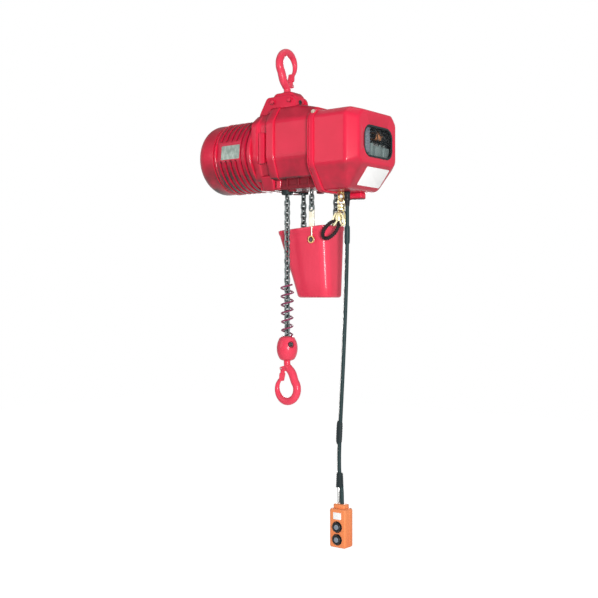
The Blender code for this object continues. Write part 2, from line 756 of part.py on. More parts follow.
def make_motor():
    def on_motor(name, outer, inner, start, length, finish):
        ring(name, outer, inner, start, start + length, on_axis(0), "X", finish)

    on_shaft = ROTOR_SHAFT + FIT
    on_motor("motor_flange", FLANGE_RADIUS, MOTOR_ROOM_RADIUS, FLANGE_START, FLANGE_LENGTH, "red_cast")
    turned("motor_frame", motor_frame_profile(), on_axis(0), "X", "red_paint")
    turned("motor_end_cap", end_cap_profile(), on_axis(0), "X", "red_paint")
    stator_bore = ROTOR_RADIUS + AIR_GAP
    on_motor("stator_core", MOTOR_BORE - FIT, stator_bore, CORE_START, CORE_LENGTH, "laminated_steel")
    on_motor("rotor_core", ROTOR_RADIUS, on_shaft, CORE_START, CORE_LENGTH, "laminated_steel")
    coil_start = CAP_INNER + FIT
    on_motor("brake_coil", BRAKE_RADIUS, REAR_BEARING_RADIUS + FIT, coil_start, BRAKE_COIL, "copper")
    disc_start = coil_start + BRAKE_COIL + BRAKE_GAP
    on_motor("brake_disc", BRAKE_RADIUS, on_shaft, disc_start, BRAKE_DISC, "chain_steel")
    on_motor("rear_bearing", REAR_BEARING_RADIUS, on_shaft, coil_start, REAR_BEARING_WIDTH, "bright_steel")


make_motor()


# Gears

def gear_outline(teeth, first_tooth):
    """Outline of straight-flanked teeth on a pitch circle, with a tooth centred on the first angle."""
    pitch = GEAR_MODULE * teeth / 2
    tip = pitch + TOOTH_HEIGHT
    root = pitch - TOOTH_DEPTH
    flare = (TOOTH_AT_PITCH - TOOTH_AT_TIP) / TOOTH_HEIGHT
    at_root = TOOTH_AT_PITCH + flare * TOOTH_DEPTH
    corners = ((root, -at_root), (tip, -TOOTH_AT_TIP), (tip, TOOTH_AT_TIP), (root, at_root))
    outline = []
    for i in range(teeth):
        middle = first_tooth + 2 * math.pi * i / teeth
        for radius, width in corners:
            angle = middle + width / 2 / radius
            outline.append((radius * math.cos(angle), radius * math.sin(angle)))
    return outline


def gear(name, teeth, first_tooth, start, width, centre, finish=None, bore=None):
    place = Matrix.Translation((start + width / 2, *centre)) @ YZ_PLANE
    holes = [circle(bore, 24)] if bore else []
    return plate(name, [gear_outline(teeth, first_tooth), *holes], width, place, finish)


def make_gears():
    main = (AXIS_Y, AXIS_Z)
    lay = (LAY_Y, LAY_Z)
    half_gap = math.pi / LOAD_TEETH
    bore = HOLLOW_SHAFT_RADIUS + FIT
    low = (LOAD_GEAR_START, LOAD_GEAR_WIDTH)
    high = (WHEEL_START, WHEEL_WIDTH)
    gear("load_gear", LOAD_TEETH, LAY_DIRECTION + half_gap, *low, main, "chain_steel", bore)
    facing = LAY_DIRECTION + math.pi
    wheel_facing = facing + math.pi / WHEEL_TEETH
    lay_end = GEAR_COVER_END - SHAFT_SHORT
    lay_shaft = rod("intermediate_gear", LAY_SHAFT, LAY_SHAFT_START, lay_end, (0, *lay), "X", "chain_steel")
    wheel = gear("wheel_teeth", WHEEL_TEETH, wheel_facing, *high, lay)
    lay_pinion = gear("lay_teeth", LAY_TEETH, facing, *low, lay)
    join(lay_shaft, meshed(wheel), meshed(lay_pinion))
    shaft = rod("rotor_shaft", ROTOR_SHAFT, SHAFT_START, SHAFT_END, on_axis(0), "X", "bright_steel")
    pinion = gear("pinion_teeth", PINION_TEETH, LAY_DIRECTION, *high, main)
    join(shaft, meshed(pinion))


make_gears()


# Load sheave, its bearings and the chain


def make_sheave():
    """Grooved wheel on a hollow shaft, turned in one."""
    bore = ROTOR_SHAFT + 3 * RUN
    edge = SHEAVE_HALF_GROOVE + SHEAVE_FLANGE
    profile = [
        (HOLLOW_SHAFT_RADIUS, HOLLOW_SHAFT_END),
        (HOLLOW_SHAFT_RADIUS, edge),
        (SHEAVE_FLANGE_RADIUS, edge),
        (SHEAVE_FLANGE_RADIUS, SHEAVE_HALF_GROOVE),
        (SHEAVE_CORE, SHEAVE_HALF_GROOVE),
        (SHEAVE_CORE, -SHEAVE_HALF_GROOVE),
        (SHEAVE_FLANGE_RADIUS, -SHEAVE_HALF_GROOVE),
        (SHEAVE_FLANGE_RADIUS, -edge),
        (HOLLOW_SHAFT_RADIUS, -edge),
        (HOLLOW_SHAFT_RADIUS, HOLLOW_SHAFT_START),
        (bore, HOLLOW_SHAFT_START),
        (bore, HOLLOW_SHAFT_END),
    ]
    turned("load_sheave", profile, on_axis(0), "X", "chain_steel")
    outer = BEARING_RADIUS - FIT
    inner = HOLLOW_SHAFT_RADIUS + FIT
    for name, side in (("left", -1), ("right", 1)):
        middle = side * (CHAIN_ROOM_HALF_LENGTH + BEARING_INSET + BEARING_WIDTH / 2)
        span = (middle - BEARING_WIDTH / 2, middle + BEARING_WIDTH / 2)
        ring(f"sheave_bearing_{name}", outer, inner, *span, on_axis(0), "X", "bright_steel")


def link_outline():
    """Centre line of one link: two straight sides joined by half circles."""
    bend = (LINK_WIDTH - CHAIN_WIRE) / 2
    straight = (CHAIN_PITCH + CHAIN_WIRE) / 2 - bend
    points = []
    for shift, base in ((straight, 0), (-straight, math.pi)):
        for i in range(5):
            angle = base + math.pi * i / 4
            points.append((bend * math.cos(angle), 0, shift + bend * math.sin(angle)))
    return points


def chain(name, places, finish):
    """One body of links, each turned a quarter from the last and just biting into it."""
    link = meshed(tube(f"{name}_link", link_outline(), CHAIN_WIRE / 2, closed=True, resolution=0))
    groups = [bmesh.new(), bmesh.new()]
    for i, place in enumerate(places):
        copy = link.data.copy()
        copy.transform(place @ Matrix.Rotation(i % 2 * math.pi / 2, 4, "Z"))
        groups[i % 2].from_mesh(copy)
    body = from_bmesh(name, groups[0], finish)
    join(body, from_bmesh(f"{name}_cross_links", groups[1], None))
    return body


def strand_places(y, low, high, quarter):
    """Link places up a straight strand, from the lowest inner end to below a height."""
    count = int((high - CHAIN_WIRE - low) / LINK_STEP)
    turn = Matrix.Rotation(quarter * math.pi / 2, 4, "Z")
    return [Matrix.Translation((0, y, low + (i + 0.5) * LINK_STEP)) @ turn for i in range(count)]


def wrap_places():
    """Link places over the top half of the sheave, clear of both strands."""
    places = []
    for i in range(1, SHEAVE_POCKETS):
        angle = i * POCKET_ANGLE
        spot = on_axis(0) + SHEAVE_RADIUS * Vector((0, -math.cos(angle), math.sin(angle)))
        places.append(Matrix.Translation(spot) @ Matrix.Rotation(-angle, 4, "X"))
    return places


BLOCK_BOTTOM = BOTTOM_SADDLE_Z + HOOK_SEAT
BLOCK_TOP = BLOCK_BOTTOM + BLOCK_HEIGHT
BLOCK_BOLT_Z = BLOCK_TOP - BLOCK_BOLT_DROP
STRAND_TOP = AXIS_Z - STRAND_TOP_GAP

make_sheave()
chain("load_chain", strand_places(0, BLOCK_BOLT_Z - BLOCK_BOLT - FIT, STRAND_TOP, 1), "chain_steel")
chain("sheave_chain", wrap_places(), "chain_steel")
SLACK_COUNT = int((STRAND_TOP - BUCKET_TOP + SLACK_BELOW_RIM) / LINK_STEP)
SLACK_LOW = STRAND_TOP - CHAIN_WIRE - FIT - SLACK_COUNT * LINK_STEP
chain("slack_chain", strand_places(SLACK_Y, SLACK_LOW, STRAND_TOP, 0), "chain_steel")


# Limit striker and limit spring

def make_striker():
    flange_low = BODY_BOTTOM + BODY_FLOOR + FIT
    flange_high = flange_low + STRIKER_FLANGE_HEIGHT
    profile = [
        (STRIKER_FLANGE, flange_high),
        (STRIKER_FLANGE, flange_low),
        (STRIKER_RADIUS, flange_low),
        (STRIKER_RADIUS, STRIKER_BOTTOM),
        (STRIKER_BORE, STRIKER_BOTTOM),
        (STRIKER_BORE, flange_high),
    ]
    turned("limit_striker", profile, (0, 0, 0), "Z", "black_rubber")


def make_spring():
    """Coil that stands on the block and widens a little upwards."""
    base = BLOCK_TOP + FIT + SPRING_WIRE / 2
    steps = SPRING_TURNS * 10
    points = []
    for i in range(steps + 1):
        share = i / steps
        radius = SPRING_BOTTOM_RADIUS + (SPRING_TOP_RADIUS - SPRING_BOTTOM_RADIUS) * share
        angle = 2 * math.pi * SPRING_TURNS * share
        height = base + (SPRING_LENGTH - SPRING_WIRE) * share
        points.append((radius * math.cos(angle), radius * math.sin(angle), height))
    tube("limit_spring", points, SPRING_WIRE / 2, "plum_spring", resolution=1)


make_striker()
make_spring()


# Bottom block


def block_profile():
    """Barrel outline from top to bottom, then up through the shank bore, the nut room and the chain bore."""
    outer = []
    for i in range(9):
        share = i / 8
        bulge = math.sqrt(1 - (1 - BLOCK_END_SHARE**2) * (2 * share - 1) ** 2)
        outer.append((BLOCK_RADIUS * bulge, BLOCK_TOP - BLOCK_HEIGHT * share))
    seat = BLOCK_BOTTOM + SEAT_THICKNESS
    room_top = seat + HOOK_NUT_HEIGHT + 3 * RUN
    shank = HOOK_SHANK + RUN
    inner = [(shank, BLOCK_BOTTOM), (shank, seat), (NUT_ROOM_RADIUS, seat), (NUT_ROOM_RADIUS, room_top)]
    return outer + inner + [(BLOCK_CHAIN_BORE, room_top), (BLOCK_CHAIN_BORE, BLOCK_TOP)]


def make_block():
    """Two half shells closed on the chain's last link by a cross bolt."""
    reach = BLOCK_RADIUS + CUT_PAST
    bolt_centre = (0, 0, BLOCK_BOLT_Z)
    hole = rod("block_bolt_hole", BLOCK_BOLT + FIT, -reach, reach, bolt_centre, "X", None, 12)
    sink_radius = BLOCK_BOLT_HEAD + FIT
    sink = rod("block_bolt_sink", sink_radius, BLOCK_BOLT_SEAT - FIT, reach, bolt_centre, "X", None, 12)
    for name, side in (("left", -1), ("right", 1)):
        half = turned(f"block_half_{name}", block_profile(), (0, 0, 0), "Z", "red_paint")
        left, right = sorted((side * BLOCK_SPLIT / 2, -side * reach))
        low = (left, -reach, BLOCK_BOTTOM - CUT_PAST)
        high = (right, reach, BLOCK_TOP + CUT_PAST)
        cut(half, box(f"block_split_{name}", low, high))
        cut(half, hole)
        if side > 0:
            cut(half, sink)
    profile = [
        (0, BLOCK_BOLT_END),
        (BLOCK_BOLT_HEAD, BLOCK_BOLT_END),
        (BLOCK_BOLT_HEAD, BLOCK_BOLT_SEAT),
        (BLOCK_BOLT, BLOCK_BOLT_SEAT),
        (BLOCK_BOLT, -BLOCK_BOLT_END),
        (0, -BLOCK_BOLT_END),
    ]
    turned("block_bolt", profile, bolt_centre, "X", "chain_steel", 12)


make_block()


# Gear cover and control cover

COVER_START = GEAR_COVER_END + FIT


def cover_ring(x, grow=0, bottom_x=None):
    """Eight-sided section of the cover; its lowest edge may sit at a station of its own."""
    low_x = x if bottom_x is None else bottom_x
    half_section = [
        (x, COVER_TOP_HALF + grow, COVER_TOP + grow),
        (x, COVER_FRONT + grow, COVER_FLAT_TOP),
        (x, COVER_FRONT + grow, COVER_FLAT_BOTTOM),
        (low_x, COVER_BOTTOM_HALF + grow, COVER_BOTTOM - grow),
    ]
    return both_sides(half_section)


def both_sides(half_section):
    """Full section from its front half; the back half stands a little further out."""
    front = [(x, AXIS_Y - half, z) for x, half, z in half_section]
    back = [(x, AXIS_Y + half + COVER_BACK_EXTRA, z) for x, half, z in reversed(half_section)]
    return front + back


def cover_end_ring():
    """Flat end face, inside the corner facets and above the end's lower slope."""
    half = COVER_FRONT - COVER_CORNER
    inner = half - COVER_END_CHAMFER
    top = COVER_TOP - COVER_END_DROP
    half_section = [
        (COVER_END_X, inner, top),
        (COVER_END_X, half, top - COVER_END_CHAMFER),
        (COVER_END_X, half, COVER_FLAT_BOTTOM + COVER_END_CHAMFER),
        (COVER_END_X, inner, COVER_FLAT_BOTTOM),
    ]
    return both_sides(half_section)


def rounded_rectangle(low, high, radius, count=4):
    """Corner-rounded outline between two opposite corners."""
    corners = (
        (high[0] - radius, high[1] - radius, 0),
        (low[0] + radius, high[1] - radius, 90),
        (low[0] + radius, low[1] + radius, 180),
        (high[0] - radius, low[1] + radius, 270),
    )
    outline = []
    for u, v, base in corners:
        for i in range(count):
            angle = math.radians(base + 90 * i / (count - 1))
            outline.append((u + radius * math.cos(angle), v + radius * math.sin(angle)))
    return outline


def window_outline(inset):
    half_width = WINDOW_WIDTH / 2 - inset
    half_height = WINDOW_HEIGHT / 2 - inset
    low = (WINDOW_Y - half_width, WINDOW_Z - half_height)
    high = (WINDOW_Y + half_width, WINDOW_Z + half_height)
    return rounded_rectangle(low, high, WINDOW_CORNER - inset)


def at_x(x):
    return Matrix.Translation((x, 0, 0)) @ YZ_PLANE


def make_covers():
    rim_rings = [cover_ring(x, RIM_PROUD) for x in (GEAR_COVER_START, GEAR_COVER_END)]
    rim = loft("gear_cover", rim_rings, "red_paint")
    past = (GEAR_COVER_START - CUT_PAST, GEAR_COVER_END + CUT_PAST)
    cut(rim, rod("shaft_seat", ROTOR_SHAFT + RUN, *past, on_axis(0), "X"))
    cut(rim, rod("lay_seat", LAY_SHAFT + RUN, *past, (0, LAY_Y, LAY_Z), "X"))
    rings = [cover_ring(COVER_START), cover_ring(COVER_CORNER_X, 0, COVER_BOTTOM_X), cover_end_ring()]
    cover = loft("control_cover", rings, "red_paint", open_start=True)
    shell = cover.modifiers.new("wall", "SOLIDIFY")
    shell.thickness = COVER_WALL
    shell.offset = -1
    shell.use_even_offset = True
    window = meshed(plate("window_hole", [window_outline(0)], 4 * COVER_WALL, at_x(COVER_END_X)))
    cut(cover, window)
    wall = (COVER_BOTTOM - CUT_PAST, COVER_BOTTOM + COVER_WALL + CUT_PAST)
    cut(cover, rod("gland_hole", GLAND_THREAD + FIT, *wall, (GLAND_X, AXIS_Y, 0), "Z"))
    gasket_depth = COVER_WALL + GASKET_PROUD
    gasket_x = COVER_END_X - COVER_WALL + gasket_depth / 2
    outlines = [window_outline(FIT), window_outline(GASKET_WIDTH)]
    plate("window_gasket", outlines, gasket_depth, at_x(gasket_x), "black_rubber")
    lens_x = COVER_END_X - COVER_WALL + LENS_THICKNESS / 2
    plate("window_lens", [window_outline(GASKET_WIDTH + FIT)], LENS_THICKNESS, at_x(lens_x), "clear")


def standing_box(name, size, y, z, finish):
    """Block fixed to the gear cover's outer face."""
    length, width, height = size
    low = (COVER_START, y - width / 2, z - height / 2)
    high = (COVER_START + length, y + width / 2, z + height / 2)
    soften(box(name, low, high, finish), ELECTRICS_ROUND)


make_covers()
for contactor, side in (("up", -1), ("down", 1)):
    contactor_y = CONTACTOR_Y + side * CONTACTOR_PITCH / 2
    standing_box(f"contactor_{contactor}", CONTACTOR_SIZE, contactor_y, CONTACTOR_Z, "grey_plastic")
standing_box("transformer", TRANSFORMER_SIZE, TRANSFORMER_Y, TRANSFORMER_Z, "copper")
standing_box("terminal_strip", TERMINAL_SIZE, TERMINAL_Y, WINDOW_Z, "grey_plastic")


# Chain bucket, the chain in it and its hangers

def bucket_outline(z, inset):
    share = (BUCKET_TOP - z) / (BUCKET_TOP - BUCKET_BOTTOM)
    left, right, front, back = (a + (b - a) * share for a, b in zip(BUCKET_MOUTH, BUCKET_FLOOR))
    low = (left + inset, front + inset)
    high = (right - inset, back - inset)
    return [(x, y, z) for x, y in rounded_rectangle(low, high, BUCKET_CORNER - inset)]


def make_bucket():
    rings = [bucket_outline(z, 0) for z in (BUCKET_TOP, BUCKET_BOTTOM)]
    bucket = loft("chain_bucket", rings, "red_paint", open_start=True)
    shell = bucket.modifiers.new("wall", "SOLIDIFY")
    shell.thickness = BUCKET_WALL
    shell.offset = -1
    shell.use_even_offset = True
    floor = BUCKET_BOTTOM + BUCKET_WALL + FIT
    inset = BUCKET_WALL + 4 * FIT
    loft("chain_heap", [bucket_outline(z, inset) for z in (floor, floor + HEAP_HEIGHT)], "chain_steel")
    return bucket


def make_hanger(name, x, y, top, finish):
    """Flat bar that narrows to an eye level with the bucket's bolt."""
    eye = BUCKET_TOP - HANGER_DROP
    bar_end = BUCKET_TOP + HANGER_BAR_ABOVE_RIM
    half = HANGER_WIDTH / 2
    outline = [(x + half, bar_end), (x + half, top), (x - half, top), (x - half, bar_end)]
    for i in range(9):
        angle = math.radians(150 + 240 * i / 8)
        outline.append((x + HANGER_ROD * math.cos(angle), eye + HANGER_ROD * math.sin(angle)))
    hole = circle(HANGER_BOLT + FIT, 12, (x, eye))
    place = Matrix.Translation((0, y, 0)) @ XZ_PLANE
    plate(name, [outline, hole], HANGER_THICKNESS, place, finish)


def make_hanger_bolt(name, x, y, side):
    """Bolt from outside through the hanger's eye and the bucket's wall; side is -1 at the front."""
    seat = y + side * (HANGER_THICKNESS / 2 + FIT)
    profile = [
        (0, HANGER_BOLT_HEAD_HEIGHT),
        (HANGER_BOLT_HEAD, HANGER_BOLT_HEAD_HEIGHT),
        (HANGER_BOLT_HEAD, 0),
        (HANGER_BOLT, 0),
        (HANGER_BOLT, -HANGER_BOLT_LENGTH),
        (0, -HANGER_BOLT_LENGTH),
    ]
    bolt = turned(name, profile, (x, seat, BUCKET_TOP - HANGER_DROP), "Y", "zinc", 12)
    if side < 0:
        bolt.rotation_euler = (math.pi / 2, 0, 0)


def make_hangers(bucket):
    front_y = BUCKET_MOUTH[2] - FIT - HANGER_THICKNESS / 2
    back_y = BUCKET_MOUTH[3] + FIT + HANGER_THICKNESS / 2
    slope = (BODY_FLAT_BOTTOM - BODY_BOTTOM) / (BODY_HALF_DEPTH - BODY_BOTTOM_HALF)
    back_edge = back_y - HANGER_THICKNESS / 2 - AXIS_Y - BODY_BOTTOM_HALF
    back_top = BODY_BOTTOM + slope * back_edge - FIT
    make_hanger("front_hanger", HANGER_X, front_y, BODY_BOTTOM - FIT, "zinc")
    make_hanger("rear_hanger", HANGER_X, back_y, back_top, "zinc")
    for name, y, side in (("front_hanger_bolt", front_y, -1), ("rear_hanger_bolt", back_y, 1)):
        make_hanger_bolt(name, HANGER_X, y, side)
        centre = (HANGER_X, y, BUCKET_TOP - HANGER_DROP)
        reach = HANGER_BOLT_LENGTH + CUT_PAST
        cut(bucket, rod(f"{name}_hole", HANGER_BOLT + FIT, -reach, reach, centre, "Y", None, 12))


make_hangers(make_bucket())


# Cable gland, cable support and cable

SWING_GAP = CABLE_RADIUS * math.tan(SWING_LIMIT) + FIT
CABLE_POINTS = (
    (GLAND_X, SWING_Z - SWING_GAP),
    (0.2024, -0.640),
    (0.2000, -0.760),
    (0.1966, -0.880),
    (0.1926, -1.000),
    (0.1884, -1.120),
    (0.1838, -1.230),
    (0.1808, -1.290),
    (PENDANT_X, BOOT_TOP + FIT),
)
WIRE_TOP_X = SHACKLE_X
WIRE_END_X = PENDANT_X - BOOT_RADIUS - WIRE_RADIUS - 2 * RUN


def through(points, samples):
    """Smooth curve through points, sampled evenly between each pair."""
    ends = [points[0], *points, points[-1]]
    route = []
    for a, b, c, d in zip(ends, ends[1:], ends[2:], ends[3:]):
        for i in range(samples):
            t = i / samples
            p, q, r, s = (Vector(point) for point in (a, b, c, d))
            bend = (2 * p - 5 * q + 4 * r - s) * t**2 + (3 * q - p - 3 * r + s) * t**3
            route.append(tuple(q + ((r - p) * t + bend) / 2))
    return [*route, tuple(points[-1])]


def make_gland():
    base = COVER_BOTTOM - FIT
    bore = CABLE_RADIUS + 2 * FIT
    profile = [
        (GLAND_THREAD, COVER_BOTTOM + GLAND_INSIDE),
        (GLAND_THREAD, base),
        (GLAND_RADIUS, base),
        (GLAND_RADIUS, base - GLAND_NUT),
        (GLAND_MOUTH, base - GLAND_LENGTH),
        (bore, base - GLAND_LENGTH),
        (bore, COVER_BOTTOM + GLAND_INSIDE),
    ]
    turned("cable_gland", profile, (GLAND_X, AXIS_Y, 0), "Z", "black_plastic")


def loop(name, centre, half_width, half_height, across, up, wire, finish):
    """Closed oval ring of wire in the plane of two directions."""
    points = []
    for i in range(16):
        angle = 2 * math.pi * i / 16
        points.append(centre + across * half_width * math.cos(angle) + up * half_height * math.sin(angle))
    tube(name, [tuple(p) for p in points], wire, finish, closed=True, resolution=1)


def make_cable():
    top = COVER_BOTTOM + CABLE_INSIDE
    steps = [top + (SWING_Z - top) * i / 4 for i in range(5)]
    tube("cable_upper", [(GLAND_X, AXIS_Y, z) for z in steps], CABLE_RADIUS, "black_rubber")
    cable = through([(x, AXIS_Y, z) for x, z in CABLE_POINTS], 4)
    tube("pendant_cable", cable, CABLE_RADIUS, "black_rubber")
    wire_top = Vector((WIRE_TOP_X, AXIS_Y, SWING_Z - FIT))
    wire_end = Vector((WIRE_END_X, AXIS_Y, BOOT_FLANGE_TOP + FIT))
    wire = [tuple(wire_top.lerp(wire_end, i / 8)) for i in range(9)]
    tube("strain_wire", wire, WIRE_RADIUS, "bright_steel")


def make_cable_support():
    up = Vector((0, 0, 1))
    ring_z = COVER_BOTTOM - FIT - SHACKLE_RADIUS - SHACKLE_WIRE
    centre = Vector((SHACKLE_X, AXIS_Y, ring_z))
    radii = (SHACKLE_RADIUS, SHACKLE_RADIUS)
    loop("cable_shackle", centre, *radii, Vector((0, 1, 0)), up, SHACKLE_WIRE, "brass")
    snap_top = ring_z - SHACKLE_RADIUS + 2 * SHACKLE_WIRE + SNAP_SLACK
    snap_bottom = SWING_Z + FIT + SHACKLE_WIRE
    half = (snap_top - snap_bottom) / 2
    centre = Vector((SHACKLE_X, AXIS_Y, (snap_top + snap_bottom) / 2))
    loop("snap_hook", centre, SNAP_HALF_WIDTH, half, Vector((1, 0, 0)), up, SHACKLE_WIRE, "brass")
    loop_y = AXIS_Y - SHACKLE_WIRE - LOOP_ROPE - LOOP_CLEAR
    upper = Vector((SHACKLE_X - LOOP_SHIFT, loop_y, LOOP_TOP))
    lower = Vector(LOOP_END)
    along = (lower - upper) / 2
    across = along.cross(Vector(LOOP_FACING)).normalized()
    middle = (upper + lower) / 2
    radii = (LOOP_HALF_WIDTH, along.length)
    loop("safety_loop", middle, *radii, across, along.normalized(), LOOP_ROPE, "black_rubber")


make_gland()
make_cable()
make_cable_support()


# Pendant

PENDANT_FRONT = AXIS_Y - PENDANT_DEPTH / 2
PENDANT_BACK = AXIS_Y + PENDANT_DEPTH / 2
PENDANT_SPLIT_Y = PENDANT_FRONT + PENDANT_FRONT_DEPTH
PENDANT_BOTTOM = PENDANT_TOP - PENDANT_HEIGHT


def pendant_box(name, front, back, inset, finish=None):
    half = PENDANT_WIDTH / 2 - inset
    low = (PENDANT_X - half, front, PENDANT_BOTTOM + inset)
    high = (PENDANT_X + half, back, PENDANT_TOP - inset)
    return box(name, low, high, finish)


def make_pendant():
    front = pendant_box("pendant_front", PENDANT_FRONT, PENDANT_SPLIT_Y - FIT / 2, 0, "orange_plastic")
    back = pendant_box("pendant_back", PENDANT_SPLIT_Y + FIT / 2, PENDANT_BACK, 0, "orange_plastic")
    for shell in (front, back):
        soften(shell, PENDANT_ROUND)
    hollow = (PENDANT_FRONT + PENDANT_WALL, PENDANT_BACK - PENDANT_WALL)
    cut(front, pendant_box("pendant_front_room", hollow[0], PENDANT_SPLIT_Y + CUT_PAST, PENDANT_WALL))
    cut(back, pendant_box("pendant_back_room", PENDANT_SPLIT_Y - CUT_PAST, hollow[1], PENDANT_WALL))
    for name, drop in zip(("up", "down"), BUTTON_DROPS):
        centre = (PENDANT_X, PENDANT_FRONT, PENDANT_TOP - drop)
        depth = (-CUT_PAST, PENDANT_WALL + CUT_PAST)
        cut(front, rod(f"{name}_button_hole", BUTTON_RADIUS + FIT, *depth, centre, "Y"))
        lip = PENDANT_WALL + FIT
        profile = [
            (0, lip + BUTTON_LIP),
            (BUTTON_RADIUS + BUTTON_LIP, lip + BUTTON_LIP),
            (BUTTON_RADIUS + BUTTON_LIP, lip),
            (BUTTON_RADIUS, lip),
            (BUTTON_RADIUS, -BUTTON_PROUD),
            (0, -BUTTON_PROUD),
        ]
        turned(f"{name}_button", profile, centre, "Y", "black_plastic")
    profile = [
        (0, BOOT_TOP),
        (BOOT_TOP_RADIUS, BOOT_TOP),
        (BOOT_RADIUS, BOOT_FLANGE_TOP),
        (BOOT_FLANGE, BOOT_FLANGE_TOP),
        (BOOT_FLANGE, PENDANT_TOP + FIT),
        (0, PENDANT_TOP + FIT),
    ]
    turned("pendant_boot", profile, (PENDANT_X, AXIS_Y, 0), "Z", "black_rubber", 16)


make_pendant()
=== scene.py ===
"""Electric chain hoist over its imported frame: painted castings, chain, hooks, bucket, cable and pendant.

Metres, +Z up. X runs along the motor towards the control cover, -Y is the front, and the origin is the saddle
of the top hook. Every piece is a numpy surface in place, so its object stays at the origin.
"""

import math

import bmesh
import bpy
import numpy as np
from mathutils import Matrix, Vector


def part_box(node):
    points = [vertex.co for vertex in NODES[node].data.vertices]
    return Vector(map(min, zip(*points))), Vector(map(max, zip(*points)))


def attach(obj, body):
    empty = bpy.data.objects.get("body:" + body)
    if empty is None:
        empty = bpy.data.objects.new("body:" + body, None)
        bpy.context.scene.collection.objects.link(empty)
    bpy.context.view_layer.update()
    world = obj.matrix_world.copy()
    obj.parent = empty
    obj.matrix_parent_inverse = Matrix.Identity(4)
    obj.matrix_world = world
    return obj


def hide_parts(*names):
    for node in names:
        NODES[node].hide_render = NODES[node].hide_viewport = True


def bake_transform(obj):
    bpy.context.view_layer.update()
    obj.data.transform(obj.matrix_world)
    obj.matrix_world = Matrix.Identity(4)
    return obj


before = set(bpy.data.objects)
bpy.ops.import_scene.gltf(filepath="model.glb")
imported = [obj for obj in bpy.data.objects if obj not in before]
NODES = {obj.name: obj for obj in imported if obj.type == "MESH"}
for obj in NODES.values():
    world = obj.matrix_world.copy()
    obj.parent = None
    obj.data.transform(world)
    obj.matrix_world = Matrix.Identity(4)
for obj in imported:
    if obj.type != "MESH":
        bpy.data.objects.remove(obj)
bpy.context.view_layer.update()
TAU = 2 * math.pi
QUARTER_TURN = math.pi / 2
SMALL_EASE = 0.0008
FINE_EASE = 0.0004
ORIGIN = np.zeros(3)
X_DIR = np.array((1.0, 0.0, 0.0))
Y_DIR = np.array((0.0, 1.0, 0.0))
Z_DIR = np.array((0.0, 0.0, 1.0))
FRONT = -Y_DIR


# Places from the frame


def span(node):
    """Lowest and highest corner of a CAD node, to the nearest micrometre."""
    low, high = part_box(node)
    return np.round(np.array(low, float), 6), np.round(np.array(high, float), 6)


def middle_of(node):
    """Middle of a CAD node's box."""
    low, high = span(node)
    return (low + high) / 2


AXIS_Y, AXIS_Z = middle_of("motor_frame")[1:]
SLACK_Y = 2 * AXIS_Y


# Shapes: a shape is (points, four-sided faces, other faces)

MOST_OF_A_SIDE = 0.48
NEARLY_PARALLEL = 0.99
SHARPEST_CORNER = 0.5
TINY = 1e-9
WELD = 0.000002


def unit(vectors):
    """Vectors divided by their lengths."""
    return vectors / np.linalg.norm(vectors, axis=-1, keepdims=True)


def blend_step(value, low, high):
    """Smooth rise from 0 at low to 1 at high: 3t^2 - 2t^3 of the clipped share."""
    share = np.clip((value - low) / (high - low), 0, 1)
    return share * share * (3 - 2 * share)


def surface(points, wrap_rows=False, caps=True):
    """Shape from a grid of points whose rows are closed: each cell is a face, and end rows may be capped."""
    rows, columns = points.shape[:2]
    row = np.arange(rows if wrap_rows else rows - 1)[:, None]
    column = np.arange(columns)[None, :]
    next_row = (row + 1) % rows * columns
    next_column = (column + 1) % columns
    here = row * columns
    corners = (here + column, here + next_column, next_row + next_column, next_row + column)
    faces = np.stack(np.broadcast_arrays(*corners), -1).reshape(-1, 4)
    ends = []
    if caps and not wrap_rows:
        last = (rows - 1) * columns
        ends = [list(range(columns))[::-1], list(range(last, last + columns))]
    return points.reshape(-1, 3), faces, ends


def merge(*shapes):
    """One shape from several, with the later shapes' corner numbers moved up."""
    points, faces, others = [], [], []
    count = 0
    for shape_points, shape_faces, shape_others in shapes:
        points.append(shape_points)
        faces.append(shape_faces + count)
        others += [[corner + count for corner in face] for face in shape_others]
        count += len(shape_points)
    return np.concatenate(points), np.concatenate(faces), others


def repeat(shape, places):
    """Copies of a shape under an array of 4 by 4 places, worked out in one product."""
    points, faces, others = shape
    places = np.asarray(places)
    moved = np.einsum("kij,nj->kni", places[:, :3, :3], points) + places[:, None, :3, 3]
    shifts = np.arange(len(places)) * len(points)
    all_faces = (faces[None] + shifts[:, None, None]).reshape(-1, 4)
    all_others = [[corner + shift for corner in face] for shift in shifts.tolist() for face in others]
    return moved.reshape(-1, 3), all_faces, all_others


def frame_at(origin, normal, across=X_DIR):
    """Place whose local Z is the normal and whose local X lies as near as it can to across."""
    z = unit(np.asarray(normal, float))
    across = np.asarray(across, float)
    across = Y_DIR if abs(np.dot(unit(across), z)) > NEARLY_PARALLEL else across
    x = unit(across - z * np.dot(across, z))
    place = np.eye(4)
    place[:3, :3] = np.stack((x, np.cross(z, x), z), -1)
    place[:3, 3] = origin
    return place


def placed(shape, *place):
    """One copy of a shape, at an origin, a normal and a direction across."""
    return repeat(shape, [frame_at(*place)])


def circle(count, radius=1.0):
    """Points at equal angles round a circle: radius times (cos a, sin a)."""
    angle = TAU * np.arange(count) / count
    return radius * np.stack((np.cos(angle), np.sin(angle)), -1)


def oval(centre, across, up, half_width, half_height, count=48):
    """Closed path: the centre, plus half the width times cos a across and half the height times sin a up."""
    angle = TAU * np.arange(count) / count
    centre, across, up = (np.asarray(vector, float) for vector in (centre, across, up))
    return centre + np.outer(np.cos(angle) * half_width, across) + np.outer(np.sin(angle) * half_height, up)


